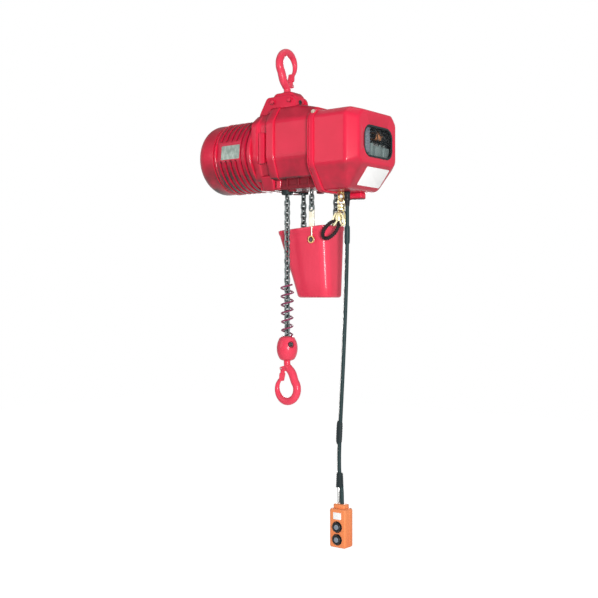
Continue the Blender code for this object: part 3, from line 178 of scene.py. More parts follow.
def eased(corners, reach, steps=5, closed=False):
    """Polyline with each corner p replaced by the curve (1-s)^2 a + 2s(1-s) p + s^2 b from a to b near it."""
    corners = np.asarray(corners, float)
    reach = np.broadcast_to(reach, len(corners))[:, None]
    before = np.roll(corners, 1, 0) - corners
    after = np.roll(corners, -1, 0) - corners
    before_length = np.linalg.norm(before, axis=-1, keepdims=True)
    after_length = np.linalg.norm(after, axis=-1, keepdims=True)
    start = corners + before * np.minimum(reach / np.maximum(before_length, TINY), MOST_OF_A_SIDE)
    end = corners + after * np.minimum(reach / np.maximum(after_length, TINY), MOST_OF_A_SIDE)
    if not closed:
        start[0], end[0] = corners[0], corners[0]
        start[-1], end[-1] = corners[-1], corners[-1]
    s = np.linspace(0, 1, steps)[None, :, None]
    curve = (1 - s) ** 2 * start[:, None] + 2 * s * (1 - s) * corners[:, None] + s**2 * end[:, None]
    return curve.reshape(-1, corners.shape[1])


def turned(profile, centre, axis, count=64):
    """Profile of (radius, height) carried once round an axis."""
    profile = np.asarray(profile, float)
    angle = TAU * np.arange(count) / count
    radius = profile[:, :1]
    wide, deep = radius * np.cos(angle), radius * np.sin(angle)
    tall = np.broadcast_to(profile[:, 1:], wide.shape)
    order = {"X": (tall, wide, deep), "Y": (deep, tall, wide), "Z": (wide, deep, tall)}[axis]
    return surface(np.stack(order, -1) + np.asarray(centre, float), caps=False)


def swept(path, section, up=Z_DIR, scale=1.0, closed=False):
    """Section of (side, top) pairs carried along a path; side is up x direction, top is direction x side."""
    path = np.asarray(path, float)
    ahead = np.roll(path, -1, 0) - np.roll(path, 1, 0) if closed else np.gradient(path, axis=0)
    ahead = unit(ahead)
    side = unit(np.cross(np.broadcast_to(up, path.shape), ahead))
    top = np.cross(ahead, side)
    scale = np.broadcast_to(scale, len(path))[:, None, None]
    wide = section[..., :1] * scale * side[:, None]
    high = section[..., 1:] * scale * top[:, None]
    return surface(path[:, None] + wide + high, wrap_rows=closed)


def tube(path, radius, sides=16, up=Y_DIR, closed=False):
    """Round section carried along a path."""
    return swept(path, circle(sides, radius), up, closed=closed)


def through(points, samples):
    """Curve through points: q + ((r-p)t + (2p-5q+4r-s)t^2 + (3q-p-3r+s)t^3) / 2 between each pair."""
    points = np.asarray(points, float)
    padded = np.concatenate((2 * points[:1] - points[1:2], points, 2 * points[-1:] - points[-2:-1]))
    p, q, r, s = (padded[i : len(padded) - 3 + i, None] for i in range(4))
    t = np.linspace(0, 1, samples, endpoint=False)[None, :, None]
    curve = q + ((r - p) * t + (2 * p - 5 * q + 4 * r - s) * t**2 + (3 * q - p - 3 * r + s) * t**3) / 2
    return np.concatenate((curve.reshape(-1, points.shape[1]), points[-1:]))


def slab(outline, half, edge, steps=4):
    """Outline thickened each way, its rims quarter rounds: inset e(1 - cos a), height h - e(1 - sin a)."""
    outline = np.asarray(outline, float)
    following = np.roll(outline, -1, 0)
    if np.sum(outline[:, 0] * following[:, 1] - outline[:, 1] * following[:, 0]) < 0:
        outline = outline[::-1]
    before = unit(outline - np.roll(outline, 1, 0))
    after = unit(np.roll(outline, -1, 0) - outline)
    before_out = np.stack((before[:, 1], -before[:, 0]), -1)
    after_out = np.stack((after[:, 1], -after[:, 0]), -1)
    out = unit(before_out + after_out)
    out = out / np.clip(np.sum(out * before_out, -1, keepdims=True), SHARPEST_CORNER, 1)
    turn = np.linspace(0, QUARTER_TURN, steps)
    inset = edge * (1 - np.cos(turn))
    height = half - edge * (1 - np.sin(turn))
    inset = np.concatenate((inset[::-1], inset))
    height = np.concatenate((-height[::-1], height))
    rim = outline[None] - inset[:, None, None] * out[None]
    lift = np.broadcast_to(height[:, None, None], (*rim.shape[:2], 1))
    return surface(np.concatenate((rim, lift), -1))


def corner_arcs(steps):
    """Angles of four quarter arcs in turn, and the corner, +1 or -1 each way, that each angle belongs to."""
    quarter = np.linspace(0, QUARTER_TURN, steps)
    turn = np.concatenate([quarter + k * QUARTER_TURN for k in range(4)])
    return turn, np.repeat([[1, 1], [-1, 1], [-1, -1], [1, -1]], steps, 0)


def soft_box(low, high, edge, steps=4):
    """Box with round edges: corner centres plus the edge radius times a direction on the sphere."""
    low, high = np.asarray(low, float), np.asarray(high, float)
    turn, side = corner_arcs(steps)
    quarter = np.linspace(0, QUARTER_TURN, steps)
    tilt = np.concatenate((quarter - QUARTER_TURN, quarter))[:, None]
    up = np.repeat([-1, 1], steps)[:, None]
    ball = (np.cos(tilt) * np.cos(turn), np.cos(tilt) * np.sin(turn), np.sin(tilt))
    ball = np.stack(np.broadcast_arrays(*ball), -1)
    corner = np.stack(np.broadcast_arrays(side[None, :, 0], side[None, :, 1], up), -1)
    middle, half = (low + high) / 2, (high - low) / 2 - edge
    return surface(middle + corner * half + edge * ball)


def rounded_rectangle(width, height, corner, steps=6):
    """Closed outline of a rectangle about its middle, with round corners."""
    turn, side = corner_arcs(steps)
    half = np.array((width / 2 - corner, height / 2 - corner))
    return side * half + corner * np.stack((np.cos(turn), np.sin(turn)), -1)


def plate(size, corner, half, edge, steps=6):
    """Slab over a rounded rectangle of (width, height)."""
    return slab(rounded_rectangle(*size, corner, steps), half, edge)


def piece(name, shape, finish, nodes=(), body="hoist", crease=35.0):
    """Object from a shape, smooth but for creases, riding on a body and standing for CAD nodes."""
    points, faces, others = shape
    mesh = bpy.data.meshes.new(name)
    mesh.from_pydata(points.tolist(), [], faces.tolist() + others)
    work = bmesh.new()
    work.from_mesh(mesh)
    bmesh.ops.remove_doubles(work, verts=work.verts, dist=WELD)
    bmesh.ops.recalc_face_normals(work, faces=work.faces)
    work.to_mesh(mesh)
    work.free()
    mesh.shade_smooth()
    mesh.set_sharp_from_angle(angle=math.radians(crease))
    mesh.materials.append(FINISHES[finish])
    made = bpy.data.objects.new(name, mesh)
    bpy.context.scene.collection.objects.link(made)
    if body:
        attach(made, body)
    if nodes:
        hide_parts(*nodes)
    return made


# Shader nodes and the groups that several finishes share

# Gain and offset of each mask, which is clamped to 0 to 1
CLOUD_MASK = (3.0, -1.0)
POCKET_MASK = (4.0, -1.5)
STREAK_MASK = (5.0, -2.6)
UPWARD_MASK = (1.6, -0.35)
DOWNWARD_GAIN = -1.6

SHADE_AND_DUST_SCALE = 22.0
STREAK_SCALE = 240.0
STREAK_STRETCH = (1.0, 1.0, 0.18)
OIL_DULLING = 0.25
RUB_POLISH = -0.15
# Painted shade in the motor's slots: the fins' top radius, the slot depth and the darkening per metre below
# the tops
FIN_TOP = 0.1135
FIN_DEPTH = 0.006
FIN_SHADE = 0.8 / FIN_DEPTH
PAINT_GRAIN_HEIGHT = 0.0004
METAL_GRAIN_HEIGHT = 0.0003
METAL_GRAIN = 0.08


def feed(tree, socket, value):
    """Sets a socket to a plain value, or links another socket to it."""
    if isinstance(value, (int, float, tuple)):
        socket.default_value = value
    else:
        tree.links.new(value, socket)


def new_group(name, inputs, outputs):
    """Shader node group with its sockets; a colour's default is a tuple and a value's is a number."""
    tree = bpy.data.node_groups.new(name, "ShaderNodeTree")
    kinds = {tuple: "NodeSocketColor", float: "NodeSocketFloat"}
    for label, value in inputs.items():
        socket = tree.interface.new_socket(label, in_out="INPUT", socket_type=kinds[type(value)])
        socket.default_value = value
    for label, kind in outputs.items():
        tree.interface.new_socket(label, in_out="OUTPUT", socket_type=kinds[kind])
    return tree, tree.nodes.new("NodeGroupInput").outputs, tree.nodes.new("NodeGroupOutput").inputs


def calculate(tree, operation, *values, clamp=False):
    """Math node whose inputs are sockets or numbers; gives its output socket."""
    node = tree.nodes.new("ShaderNodeMath")
    node.operation = operation
    node.use_clamp = clamp
    for socket, value in zip(node.inputs, values):
        feed(tree, socket, value)
    return node.outputs[0]


def mixed(tree, share, first, second):
    """Colour mix from first to second by share; gives its output socket."""
    node = tree.nodes.new("ShaderNodeMix")
    node.data_type = "RGBA"
    for socket, value in zip((node.inputs[0], node.inputs[6], node.inputs[7]), (share, first, second)):
        feed(tree, socket, value)
    return node.outputs[2]


def noise(tree, coordinates, scale, detail=3.0, stretch=None):
    """Noise over object coordinates, which may be stretched first; gives its value socket."""
    node = tree.nodes.new("ShaderNodeTexNoise")
    node.inputs["Detail"].default_value = detail
    feed(tree, node.inputs["Scale"], scale)
    if stretch:
        mapping = tree.nodes.new("ShaderNodeMapping")
        mapping.inputs["Scale"].default_value = stretch
        tree.links.new(coordinates, mapping.inputs["Vector"])
        coordinates = mapping.outputs[0]
    tree.links.new(coordinates, node.inputs["Vector"])
    return node.outputs["Fac"]


def object_coordinates(tree):
    """Socket of the piece's own coordinates, which are the frame's."""
    return tree.nodes.new("ShaderNodeTexCoord").outputs["Object"]


def make_mottle():
    """Uneven colour and gloss: broad clouds mix two colours, fine grain gives the height."""
    inputs = {"Colour": (0.8, 0.8, 0.8, 1.0), "Shade": (0.5, 0.5, 0.5, 1.0), "Cloud": 9.0, "Grain": 600.0}
    inputs |= {"Share": 0.5, "Gloss": 0.4, "Spread": 0.1}
    tree, given, result = new_group("mottle", inputs, {"Colour": tuple, "Roughness": float, "Height": float})
    where = object_coordinates(tree)
    cloud = noise(tree, where, given["Cloud"], detail=4.0)
    grain = noise(tree, where, given["Grain"], detail=2.0)
    patchy = calculate(tree, "MULTIPLY_ADD", cloud, *CLOUD_MASK, clamp=True)
    share = calculate(tree, "MULTIPLY", patchy, given["Share"])
    feed(tree, result["Colour"], mixed(tree, share, given["Colour"], given["Shade"]))
    offset = calculate(tree, "SUBTRACT", cloud, 0.5)
    uneven = calculate(tree, "MULTIPLY_ADD", offset, given["Spread"], given["Gloss"])
    feed(tree, result["Roughness"], uneven)
    feed(tree, result["Height"], grain)
    return tree


def make_shade_and_dust():
    """Painted shade on faces that look down and dust on faces that look up, which a dark top colour turns
    into painted shade; noise breaks both up.
    """
    inputs = {"Colour": (0.8, 0.8, 0.8, 1.0), "Dust And Top Shade": (0.6, 0.55, 0.5, 1.0), "Underside Shade": (0.02, 0.02, 0.02, 1.0)}
    inputs |= {"Above": 0.1, "Below": 0.2, "Roughness": 0.4}
    tree, given, result = new_group("shade_and_dust", inputs, {"Colour": tuple, "Roughness": float})
    patches = noise(tree, object_coordinates(tree), SHADE_AND_DUST_SCALE, detail=5.0)
    split = tree.nodes.new("ShaderNodeSeparateXYZ")
    tree.links.new(tree.nodes.new("ShaderNodeNewGeometry").outputs["Normal"], split.inputs[0])
    # Faces that look up: pale dust by default, painted shade where a finish sets a dark top colour
    facing_up = calculate(tree, "MULTIPLY_ADD", split.outputs[2], *UPWARD_MASK, clamp=True)
    # Painted shade under things: faces that look down darken towards a near-black underside colour
    facing_down = calculate(tree, "MULTIPLY", split.outputs[2], DOWNWARD_GAIN, clamp=True)
    dust = calculate(tree, "MULTIPLY", calculate(tree, "MULTIPLY", facing_up, patches), given["Above"])
    dirt = calculate(tree, "MULTIPLY", calculate(tree, "MULTIPLY", facing_down, patches), given["Below"])
    shaded_below = mixed(tree, dirt, given["Colour"], given["Underside Shade"])
    feed(tree, result["Colour"], mixed(tree, dust, shaded_below, given["Dust And Top Shade"]))
    feed(tree, result["Roughness"], calculate(tree, "ADD", given["Roughness"], dust))
    return tree


def make_rubbed():
    """Worn metal: dark pockets of old oil, bright rubbed streaks, and a roughness that follows both."""
    inputs = {"Metal": (0.5, 0.5, 0.5, 1.0), "Oil": (0.05, 0.05, 0.05, 1.0), "Bright": (0.8, 0.8, 0.8, 1.0)}
    inputs |= {"Scale": 60.0, "Oiled": 0.5, "Rubbed": 0.4, "Gloss": 0.35}
    tree, given, result = new_group("rubbed", inputs, {"Colour": tuple, "Roughness": float, "Height": float})
    where = object_coordinates(tree)
    pocket = noise(tree, where, given["Scale"], detail=5.0)
    streak = noise(tree, where, STREAK_SCALE, stretch=STREAK_STRETCH)
    deep = calculate(tree, "MULTIPLY_ADD", pocket, *POCKET_MASK, clamp=True)
    proud = calculate(tree, "MULTIPLY_ADD", streak, *STREAK_MASK, clamp=True)
    oil = calculate(tree, "MULTIPLY", deep, given["Oiled"])
    rub = calculate(tree, "MULTIPLY", proud, given["Rubbed"])
    dark = mixed(tree, oil, given["Metal"], given["Oil"])
    feed(tree, result["Colour"], mixed(tree, rub, dark, given["Bright"]))
    rough = calculate(tree, "MULTIPLY_ADD", oil, OIL_DULLING, given["Gloss"])
    feed(tree, result["Roughness"], calculate(tree, "MULTIPLY_ADD", rub, RUB_POLISH, rough, clamp=True))
    feed(tree, result["Height"], streak)
    return tree


MOTTLE = make_mottle()
SHADE_AND_DUST = make_shade_and_dust()
RUBBED = make_rubbed()


# Finishes


def opaque(colour):
    """Colour with a full alpha."""
    return (*colour, 1.0)


def add_group(tree, group, values):
    """Shared group placed in a material with its own values; gives its output sockets."""
    node = tree.nodes.new("ShaderNodeGroup")
    node.node_tree = group
    for label, value in values.items():
        feed(tree, node.inputs[label], value)
    return node.outputs


def new_finish(name, shader_values):
    """Material with its shader's plain values set; gives the material, its tree and its shader."""
    made = bpy.data.materials.new(name)
    made.use_nodes = True
    shader = made.node_tree.nodes["Principled BSDF"]
    for label, value in shader_values.items():
        shader.inputs[label].default_value = value
    return made, made.node_tree, shader


def raise_grain(tree, shader, height, strength, distance):
    """Bump from a height, fed to the shader's normal."""
    bump = tree.nodes.new("ShaderNodeBump")
    bump.inputs["Strength"].default_value = strength
    bump.inputs["Distance"].default_value = distance
    tree.links.new(height, bump.inputs["Height"])
    tree.links.new(bump.outputs[0], shader.inputs["Normal"])


def shaded_in_slots(tree, colour):
    """Painted shade in the fins' slots: colour darkened below the fins' tops, by the distance from the
    motor's axis, sqrt(y^2 + z^2).
    """
    split = tree.nodes.new("ShaderNodeSeparateXYZ")
    tree.links.new(object_coordinates(tree), split.inputs[0])
    y = calculate(tree, "SUBTRACT", split.outputs[1], AXIS_Y)
    z = calculate(tree, "SUBTRACT", split.outputs[2], AXIS_Z)
    square = calculate(tree, "MULTIPLY_ADD", y, y, calculate(tree, "MULTIPLY", z, z))
    depth = calculate(tree, "SUBTRACT", FIN_TOP, calculate(tree, "SQRT", square))
    share = calculate(tree, "MULTIPLY", depth, FIN_SHADE, clamp=True)
    return mixed(tree, share, colour, opaque(SLOT_SHADE_RED))


def coated(
    name, colour, shade, gloss, grain, bump, share, dirt=0.25, dust=0.1, film=None, slots=False, **plain
):
    """Paint, plastic or rubber: mottled colour with painted shade below and dust on top, which a top shade
    colour turns into painted shade; finely grained.
    """
    made, tree, shader = new_finish(name, plain)
    values = {"Colour": opaque(colour), "Shade": opaque(shade)}
    values |= {"Grain": grain, "Share": share, "Gloss": gloss}
    base = add_group(tree, MOTTLE, values)
    # slots: painted shade in the motor's slots
    colour = shaded_in_slots(tree, base["Colour"]) if slots else base["Colour"]
    over = {"Colour": colour, "Roughness": base["Roughness"], "Below": dirt, "Above": dust}
    # A top shade colour turns the dust on faces that look up into painted shade
    over |= {"Dust And Top Shade": opaque(film)} if film else {}
    top = add_group(tree, SHADE_AND_DUST, over)
    tree.links.new(top["Colour"], shader.inputs["Base Color"])
    tree.links.new(top["Roughness"], shader.inputs["Roughness"])
    raise_grain(tree, shader, base["Height"], bump, PAINT_GRAIN_HEIGHT)
    return made


def metal(name, colour, oil, bright, gloss, oiled=0.5, rubbed=0.4, scale=60.0):
    """Bare or plated metal: rubbed and oiled colour on a metallic shader."""
    made, tree, shader = new_finish(name, {"Metallic": 1.0})
    values = {"Metal": opaque(colour), "Oil": opaque(oil), "Bright": opaque(bright), "Scale": scale}
    values |= {"Oiled": oiled, "Rubbed": rubbed, "Gloss": gloss}
    base = add_group(tree, RUBBED, values)
    tree.links.new(base["Colour"], shader.inputs["Base Color"])
    tree.links.new(base["Roughness"], shader.inputs["Roughness"])
    raise_grain(tree, shader, base["Height"], METAL_GRAIN, METAL_GRAIN_HEIGHT)
    return made


def make_lens():
    """Clear pane: dark tinted see-through shader whose gloss is a little uneven."""
    made, tree, shader = new_finish("lens", {"IOR": 1.49, "Alpha": 0.05})
    values = {"Colour": (0.10, 0.11, 0.12, 1.0), "Shade": (0.16, 0.17, 0.17, 1.0)}
    values |= {"Gloss": 0.06, "Spread": 0.06}
    base = add_group(tree, MOTTLE, values)
    tree.links.new(base["Colour"], shader.inputs["Base Color"])
    tree.links.new(base["Roughness"], shader.inputs["Roughness"])
    return made


RED = (0.74, 0.017, 0.060)
DEEP_RED = (0.60, 0.014, 0.044)
# The casting's red darkened for the finned motor: painted shade
SHADED_FIN_RED = (0.58, 0.013, 0.050)
SLOT_SHADE_RED = (0.17, 0.006, 0.014)
# Dark red laid on faces that look up: painted shade on the tops of the red castings and covers
TOP_SHADE_RED = (0.20, 0.006, 0.016)
DULL = {"Specular IOR Level": 0.22}
LACQUER = {"Specular IOR Level": 0.12, "Coat Weight": 0.20, "Coat Roughness": 0.10}

# Slot, colour, shade and the other values of each painted, moulded or rubber finish
COATINGS = {
    "cast_red": (
        "red_cast",
        RED,
        DEEP_RED,
        dict(gloss=0.42, grain=260.0, bump=0.22, share=0.6, dirt=1.5, dust=1.1, film=TOP_SHADE_RED, **LACQUER),
    ),
    "fin_red": (
        "red_cast",
        SHADED_FIN_RED,
        DEEP_RED,
        dict(gloss=0.40, grain=300.0, bump=0.16, share=0.6, dirt=1.8, dust=1.8, film=TOP_SHADE_RED, slots=True)
        | LACQUER,
    ),
    # Dark copy of the casting's red: painted shade on the casting's underside
    "shaded_red": (
        "red_cast",
        (0.20, 0.010, 0.020),
        (0.09, 0.006, 0.010),
        dict(gloss=0.55, grain=260.0, bump=0.22, share=0.6, **DULL),
    ),
    "bright_red": (
        "red_paint",
        (0.82, 0.056, 0.108),
        (0.72, 0.036, 0.076),
        dict(gloss=0.34, grain=420.0, bump=0.10, share=0.5, **LACQUER),
    ),
    "sheet_red": (
        "red_paint",
        RED,
        DEEP_RED,
        dict(gloss=0.34, grain=420.0, bump=0.10, share=0.5, dirt=0.75, dust=0.2, film=TOP_SHADE_RED, **LACQUER),
    ),
    "plum": (
        "plum_spring",
        (0.260, 0.040, 0.105),
        (0.150, 0.020, 0.058),
        dict(gloss=0.36, grain=320.0, bump=0.12, share=0.6, **DULL),
    ),
    "cable": (
        "black_rubber",
        (0.012, 0.034, 0.036),
        (0.008, 0.020, 0.022),
        dict(gloss=0.48, grain=900.0, bump=0.15, share=0.6, **DULL),
    ),
    "cord": (
        "black_rubber",
        (0.010, 0.004, 0.006),
        (0.018, 0.007, 0.009),
        dict(gloss=0.58, grain=800.0, bump=0.25, share=0.6, **DULL),
    ),
    "rubber": (
        "black_rubber",
        (0.008, 0.016, 0.018),
        (0.014, 0.022, 0.024),
        dict(gloss=0.55, grain=700.0, bump=0.2, share=0.6, dirt=0.2, dust=0.0, **DULL),
    ),
    "black": (
        "black_plastic",
        (0.009, 0.011, 0.012),
        (0.016, 0.018, 0.020),
        dict(gloss=0.36, grain=500.0, bump=0.08, share=0.5, dirt=0.2, dust=0.0, **DULL),
    ),
    "orange": (
        "orange_plastic",
        (0.84, 0.270, 0.100),
        (0.78, 0.150, 0.040),
        dict(gloss=0.40, grain=520.0, bump=0.12, share=0.4, **DULL),
    ),
    "grey": (
        "grey_plastic",
        (0.22, 0.29, 0.28),
        (0.10, 0.15, 0.15),
        dict(gloss=0.45, grain=480.0, bump=0.12, share=0.6),
    ),
    "slate_cap": (
        "grey_plastic",
        (0.20, 0.24, 0.29),
        (0.13, 0.16, 0.20),
        dict(gloss=0.30, grain=400.0, bump=0.06, share=0.5),
    ),
    "white": (
        "grey_plastic",
        (0.80, 0.80, 0.79),
        (0.68, 0.68, 0.66),
        dict(gloss=0.42, grain=300.0, bump=0.05, share=0.3, dirt=0.1),
    ),
    # Whiter than the terminals' white: painted light against the shade of the end label's downward slope
    "label": (
        "grey_plastic",
        (0.90, 0.90, 0.89),
        (0.82, 0.82, 0.81),
        dict(gloss=0.42, grain=300.0, bump=0.04, share=0.3, dirt=0.05, dust=0.0),
    ),
}

# Slot, metal, oil and bright colours and the other values of each metal
METALS = {
    "chain": (
        "chain_steel",
        (0.21, 0.25, 0.25),
        (0.030, 0.042, 0.042),
        (0.82, 0.85, 0.84),
        dict(gloss=0.36, oiled=0.6, rubbed=0.5, scale=90.0),
    ),
    "steel": (
        "bright_steel",
        (0.50, 0.50, 0.49),
        (0.12, 0.12, 0.12),
        (0.85, 0.85, 0.84),
        dict(gloss=0.30, oiled=0.35),
    ),
    "dark_steel": (
        "chain_steel",
        (0.075, 0.075, 0.075),
        (0.015, 0.015, 0.016),
        (0.35, 0.35, 0.35),
        dict(gloss=0.42),
    ),
    "zinc": (
        "zinc",
        (0.66, 0.62, 0.50),
        (0.30, 0.27, 0.20),
        (0.88, 0.86, 0.78),
        dict(gloss=0.36, oiled=0.3, rubbed=0.3, scale=45.0),
    ),
    "brass": (
        "brass",
        (0.62, 0.43, 0.17),
        (0.22, 0.14, 0.05),
        (0.92, 0.78, 0.45),
        dict(gloss=0.30, oiled=0.4, scale=70.0),
    ),
    "gold": (
        "brass",
        (0.76, 0.68, 0.42),
        (0.40, 0.33, 0.15),
        (0.96, 0.92, 0.74),
        dict(gloss=0.34, oiled=0.35, scale=55.0),
    ),
    "copper": (
        "copper",
        (0.42, 0.17, 0.075),
        (0.12, 0.045, 0.02),
        (0.75, 0.40, 0.22),
        dict(gloss=0.34, oiled=0.4, rubbed=0.5),
    ),
    "plate": (
        "bright_steel",
        (0.30, 0.36, 0.32),
        (0.16, 0.20, 0.18),
        (0.62, 0.66, 0.62),
        dict(gloss=0.46, rubbed=0.35),
    ),
    "lamination": (
        "laminated_steel",
        (0.22, 0.22, 0.23),
        (0.06, 0.06, 0.06),
        (0.55, 0.55, 0.56),
        dict(gloss=0.48, oiled=0.4, rubbed=0.5),
    ),
}

FINISHES = {"lens": make_lens()}
for maker, table in ((coated, COATINGS), (metal, METALS)):
    for finish, (slot, *colours, values) in table.items():
        FINISHES[finish] = maker(finish, *colours, **values)

# CAD nodes that stay, by their finish; the others are replaced below
NODES_OF_FINISH = {
    "lamination": ("stator_core", "rotor_core"),
    "copper": ("brake_coil",),
    "chain": ("sheave_chain",),
    "lens": ("window_lens",),
    "dark_steel": ("brake_disc", "load_sheave", "top_hook_nut", "bottom_hook_nut"),
    "steel": (
        "rotor_shaft",
        "rear_bearing",
        "sheave_bearing_left",
        "sheave_bearing_right",
        "load_gear",
        "intermediate_gear",
        "top_latch_pin",
        "bottom_latch_pin",
    ),
}
for finish, nodes in NODES_OF_FINISH.items():
    for node in nodes:
        materials = NODES[node].data.materials
        materials.clear()
        materials.append(FINISHES[finish])


# Camera, floor and light

CAMERA_TURN = math.radians(38)
CAMERA_AWAY = 3.2
CAMERA_HEIGHT = -0.7776
SENSOR_WIDTH = 36
PICTURE = 598
FOCAL_PIXELS = 1000
MIDDLE_COLUMN = 287.2
MIDDLE_ROW = 300
FLOOR_Z = -2.6
FLOOR_HALF = 12.0
FLOOR_GLOW = 0.90
FLOOR_GRAIN = 40.0
FLOOR_ROUGHNESS = (0.1, 0.8)
WORLD_LIGHT = 0.14


def make_camera():
    """Level camera turned about Z, shifted so that its axis meets the middle column and row."""
    data = bpy.data.cameras.new("camera")
    data.sensor_width = SENSOR_WIDTH
    data.lens = SENSOR_WIDTH * FOCAL_PIXELS / PICTURE
    data.shift_x = (PICTURE / 2 - MIDDLE_COLUMN) / PICTURE
    data.shift_y = (MIDDLE_ROW - PICTURE / 2) / PICTURE
    made = bpy.data.objects.new("camera", data)
    back = np.array((math.sin(CAMERA_TURN), -math.cos(CAMERA_TURN), 0))
    made.location = back * CAMERA_AWAY + Z_DIR * CAMERA_HEIGHT
    made.rotation_euler = (QUARTER_TURN, 0, CAMERA_TURN)
    bpy.context.scene.collection.objects.link(made)
    bpy.context.scene.camera = made


def seen_ray(tree):
    """1 for rays from the camera, off metal and through glass; 0 for the light that falls on the object."""
    path = tree.nodes.new("ShaderNodeLightPath").outputs
    direct = calculate(tree, "MAXIMUM", path["Is Camera Ray"], path["Is Glossy Ray"])
    return calculate(tree, "MAXIMUM", direct, path["Is Transmission Ray"])


def make_floor_finish():
    """Matt white that glows for the rays that see it, so that it reads as white and keeps the shadow."""
    plain = {"Base Color": (0.84, 0.84, 0.84, 1), "Emission Color": (1, 1, 1, 1), "Specular IOR Level": 0.0}
    made, tree, shader = new_finish("floor", plain)
    grain = noise(tree, object_coordinates(tree), FLOOR_GRAIN)
    feed(tree, shader.inputs["Roughness"], calculate(tree, "MULTIPLY_ADD", grain, *FLOOR_ROUGHNESS))
    feed(tree, shader.inputs["Emission Strength"], calculate(tree, "MULTIPLY", seen_ray(tree), FLOOR_GLOW))
    return made


def make_floor():
    """Square pale floor, a good way below the hook."""
    tile = np.array(((-1, -1), (1, -1), (1, 1), (-1, 1)), float) * FLOOR_HALF
    points = np.concatenate((tile, np.full((4, 1), FLOOR_Z)), -1)
    mesh = bpy.data.meshes.new("floor")
    mesh.from_pydata(points.tolist(), [], [(0, 1, 2, 3)])
    mesh.materials.append(make_floor_finish())
    floor = bpy.data.objects.new("floor", mesh)
    bpy.context.scene.collection.objects.link(floor)


def make_world():
    """White for the rays that see it, and a faint light on the object."""
    world = bpy.data.worlds.new("studio")
    bpy.context.scene.world = world
    world.use_nodes = True
    tree = world.node_tree
    tree.nodes.clear()
    strength = calculate(tree, "MULTIPLY_ADD", seen_ray(tree), 1.0 - WORLD_LIGHT, WORLD_LIGHT)
    sky = tree.nodes.new("ShaderNodeBackground")
    sky.inputs["Color"].default_value = (1, 1, 1, 1)
    tree.links.new(strength, sky.inputs["Strength"])
    tree.links.new(sky.outputs[0], tree.nodes.new("ShaderNodeOutputWorld").inputs["Surface"])


def add_lamp(name, where, aim, size, power):
    """Area lamp at a place, facing its aim."""
    data = bpy.data.lights.new(name, "AREA")
    data.shape = "RECTANGLE"
    data.size, data.size_y = size
    data.energy = power
    made = bpy.data.objects.new(name, data)
    place = frame_at(where, np.asarray(where, float) - np.asarray(aim, float))
    made.matrix_world = [list(column) for column in place.T]
    bpy.context.scene.collection.objects.link(made)


make_camera()
make_floor()
make_world()
add_lamp("key", where=(2.85, -2.55, -0.75), aim=(0.1, 0, -0.4), size=(1.0, 1.2), power=150)
add_lamp("fill", where=(-1.8, -2.6, 0.0), aim=(0, 0, -0.5), size=(1.2, 1.6), power=14)
add_lamp("top", where=(0.6, 0.2, 1.8), aim=(0.1, 0, -0.4), size=(1.2, 1.2), power=8)
add_lamp("back", where=(-2.0, 2.9, 0.1), aim=(0, 0, -0.5), size=(1.2, 1.6), power=60)
bpy.context.scene.view_settings.view_transform = "Standard"


# Casting

CASTING_BOTTOM = -0.428
CASTING_HALF = 0.1132
CASTING_TOP_HALF = 0.080
SHOULDER_Z = -0.214
WAIST_Z = -0.329
SLOPE_END_Z = -0.394
SLOPE_SHARE = 0.66
LEDGE_IN = 0.016
LEDGE_DOWN = 0.005
FOOT_IN = 0.018
SLOPE_REACH = (0.012, 0.012, 0.005, 0.003, 0.002)
TOP_REACH = 0.014
STATION_REACH = 0.010

# Stations along X: x, half width, half widths of top and bottom, heights of top and bottom
CASTING_STATIONS = (
    (-0.0918, 0.1120, 0.074, 0.068, -0.183, -0.425),
    (-0.0690, 0.1135, 0.078, 0.072, -0.178, -0.427),
    (-0.0645, 0.1030, 0.074, 0.066, -0.180, -0.427),
    (-0.0270, 0.1050, 0.078, 0.076, -0.168, CASTING_BOTTOM),
    (-0.0220, CASTING_HALF, CASTING_TOP_HALF, 0.080, -0.165, CASTING_BOTTOM),
    (0.0760, CASTING_HALF, CASTING_TOP_HALF, 0.080, -0.165, CASTING_BOTTOM),
    (0.1399, CASTING_HALF, CASTING_TOP_HALF, 0.080, -0.180, CASTING_BOTTOM),
)

# Raised band: x, and how far it stands out of the casting there
BAND_TOP = -0.1652
BAND_STEPS = (
    (-0.0285, -0.004),
    (-0.0270, 0.0048),
    (-0.0252, 0.0064),
    (0.0004, 0.0064),
    (0.0022, 0.0048),
    (0.0032, -0.004),
)

# Panels, lugs and ribs: plates, then places as (x, away from the axis, z) and the way that the back ones face
PANEL = dict(size=(0.021, 0.100), corner=0.005, half=0.0050, edge=0.0020)
PANEL_PLACE = (-0.0520, 0.1080, -0.296)
PANEL_FACING = (0.12, 1, 0)
LUG = dict(size=(0.052, 0.050), corner=0.008, half=0.0105, edge=0.004)
LUG_PLACE = (-0.0445, 0.0790, -0.404)
LUG_FACING = (-0.16, 0.948, -0.318)
RIB = dict(size=(0.006, 0.026), corner=0.002, half=0.004, edge=0.0015, steps=4)
RIB_PLACES = [(x, 0.078, -0.409) for x in (-0.016, 0.028, 0.072, 0.112)]

CHEEK_Y = 0.0303
CHEEK_HALF = 0.005
CHEEK_REACH = (0.002, 0.012, 0.010, 0.010, 0.012, 0.002)
CHEEK_OUTLINE = (
    (-0.088, -0.215),
    (-0.088, -0.185),
    (-0.055, -0.130),
    (0.040, -0.130),
    (0.058, -0.144),
    (0.060, -0.215),
)

LEDGE_X = (-0.032, 0.120)
LEDGE_HALF = 0.080
LEDGE_CORNER = 0.012
LEDGE_SLAB = dict(half=0.0060, edge=0.0025)
LEDGE_Z = -0.4218
SKIRT = dict(size=(0.198, 0.1536), corner=0.006, half=0.0145, edge=0.001)
SKIRT_PLACE = (0.0395, AXIS_Y, -0.4130)
BOSS_PROFILE = ((0, 0.006), (0.012, 0.006), (0.014, 0))
BOSS_EASE = 0.003
BOSS_AWAY = 0.052
BOSS_Z = -0.4278
BOSSES = ((0.028, -1), (0.062, 1))


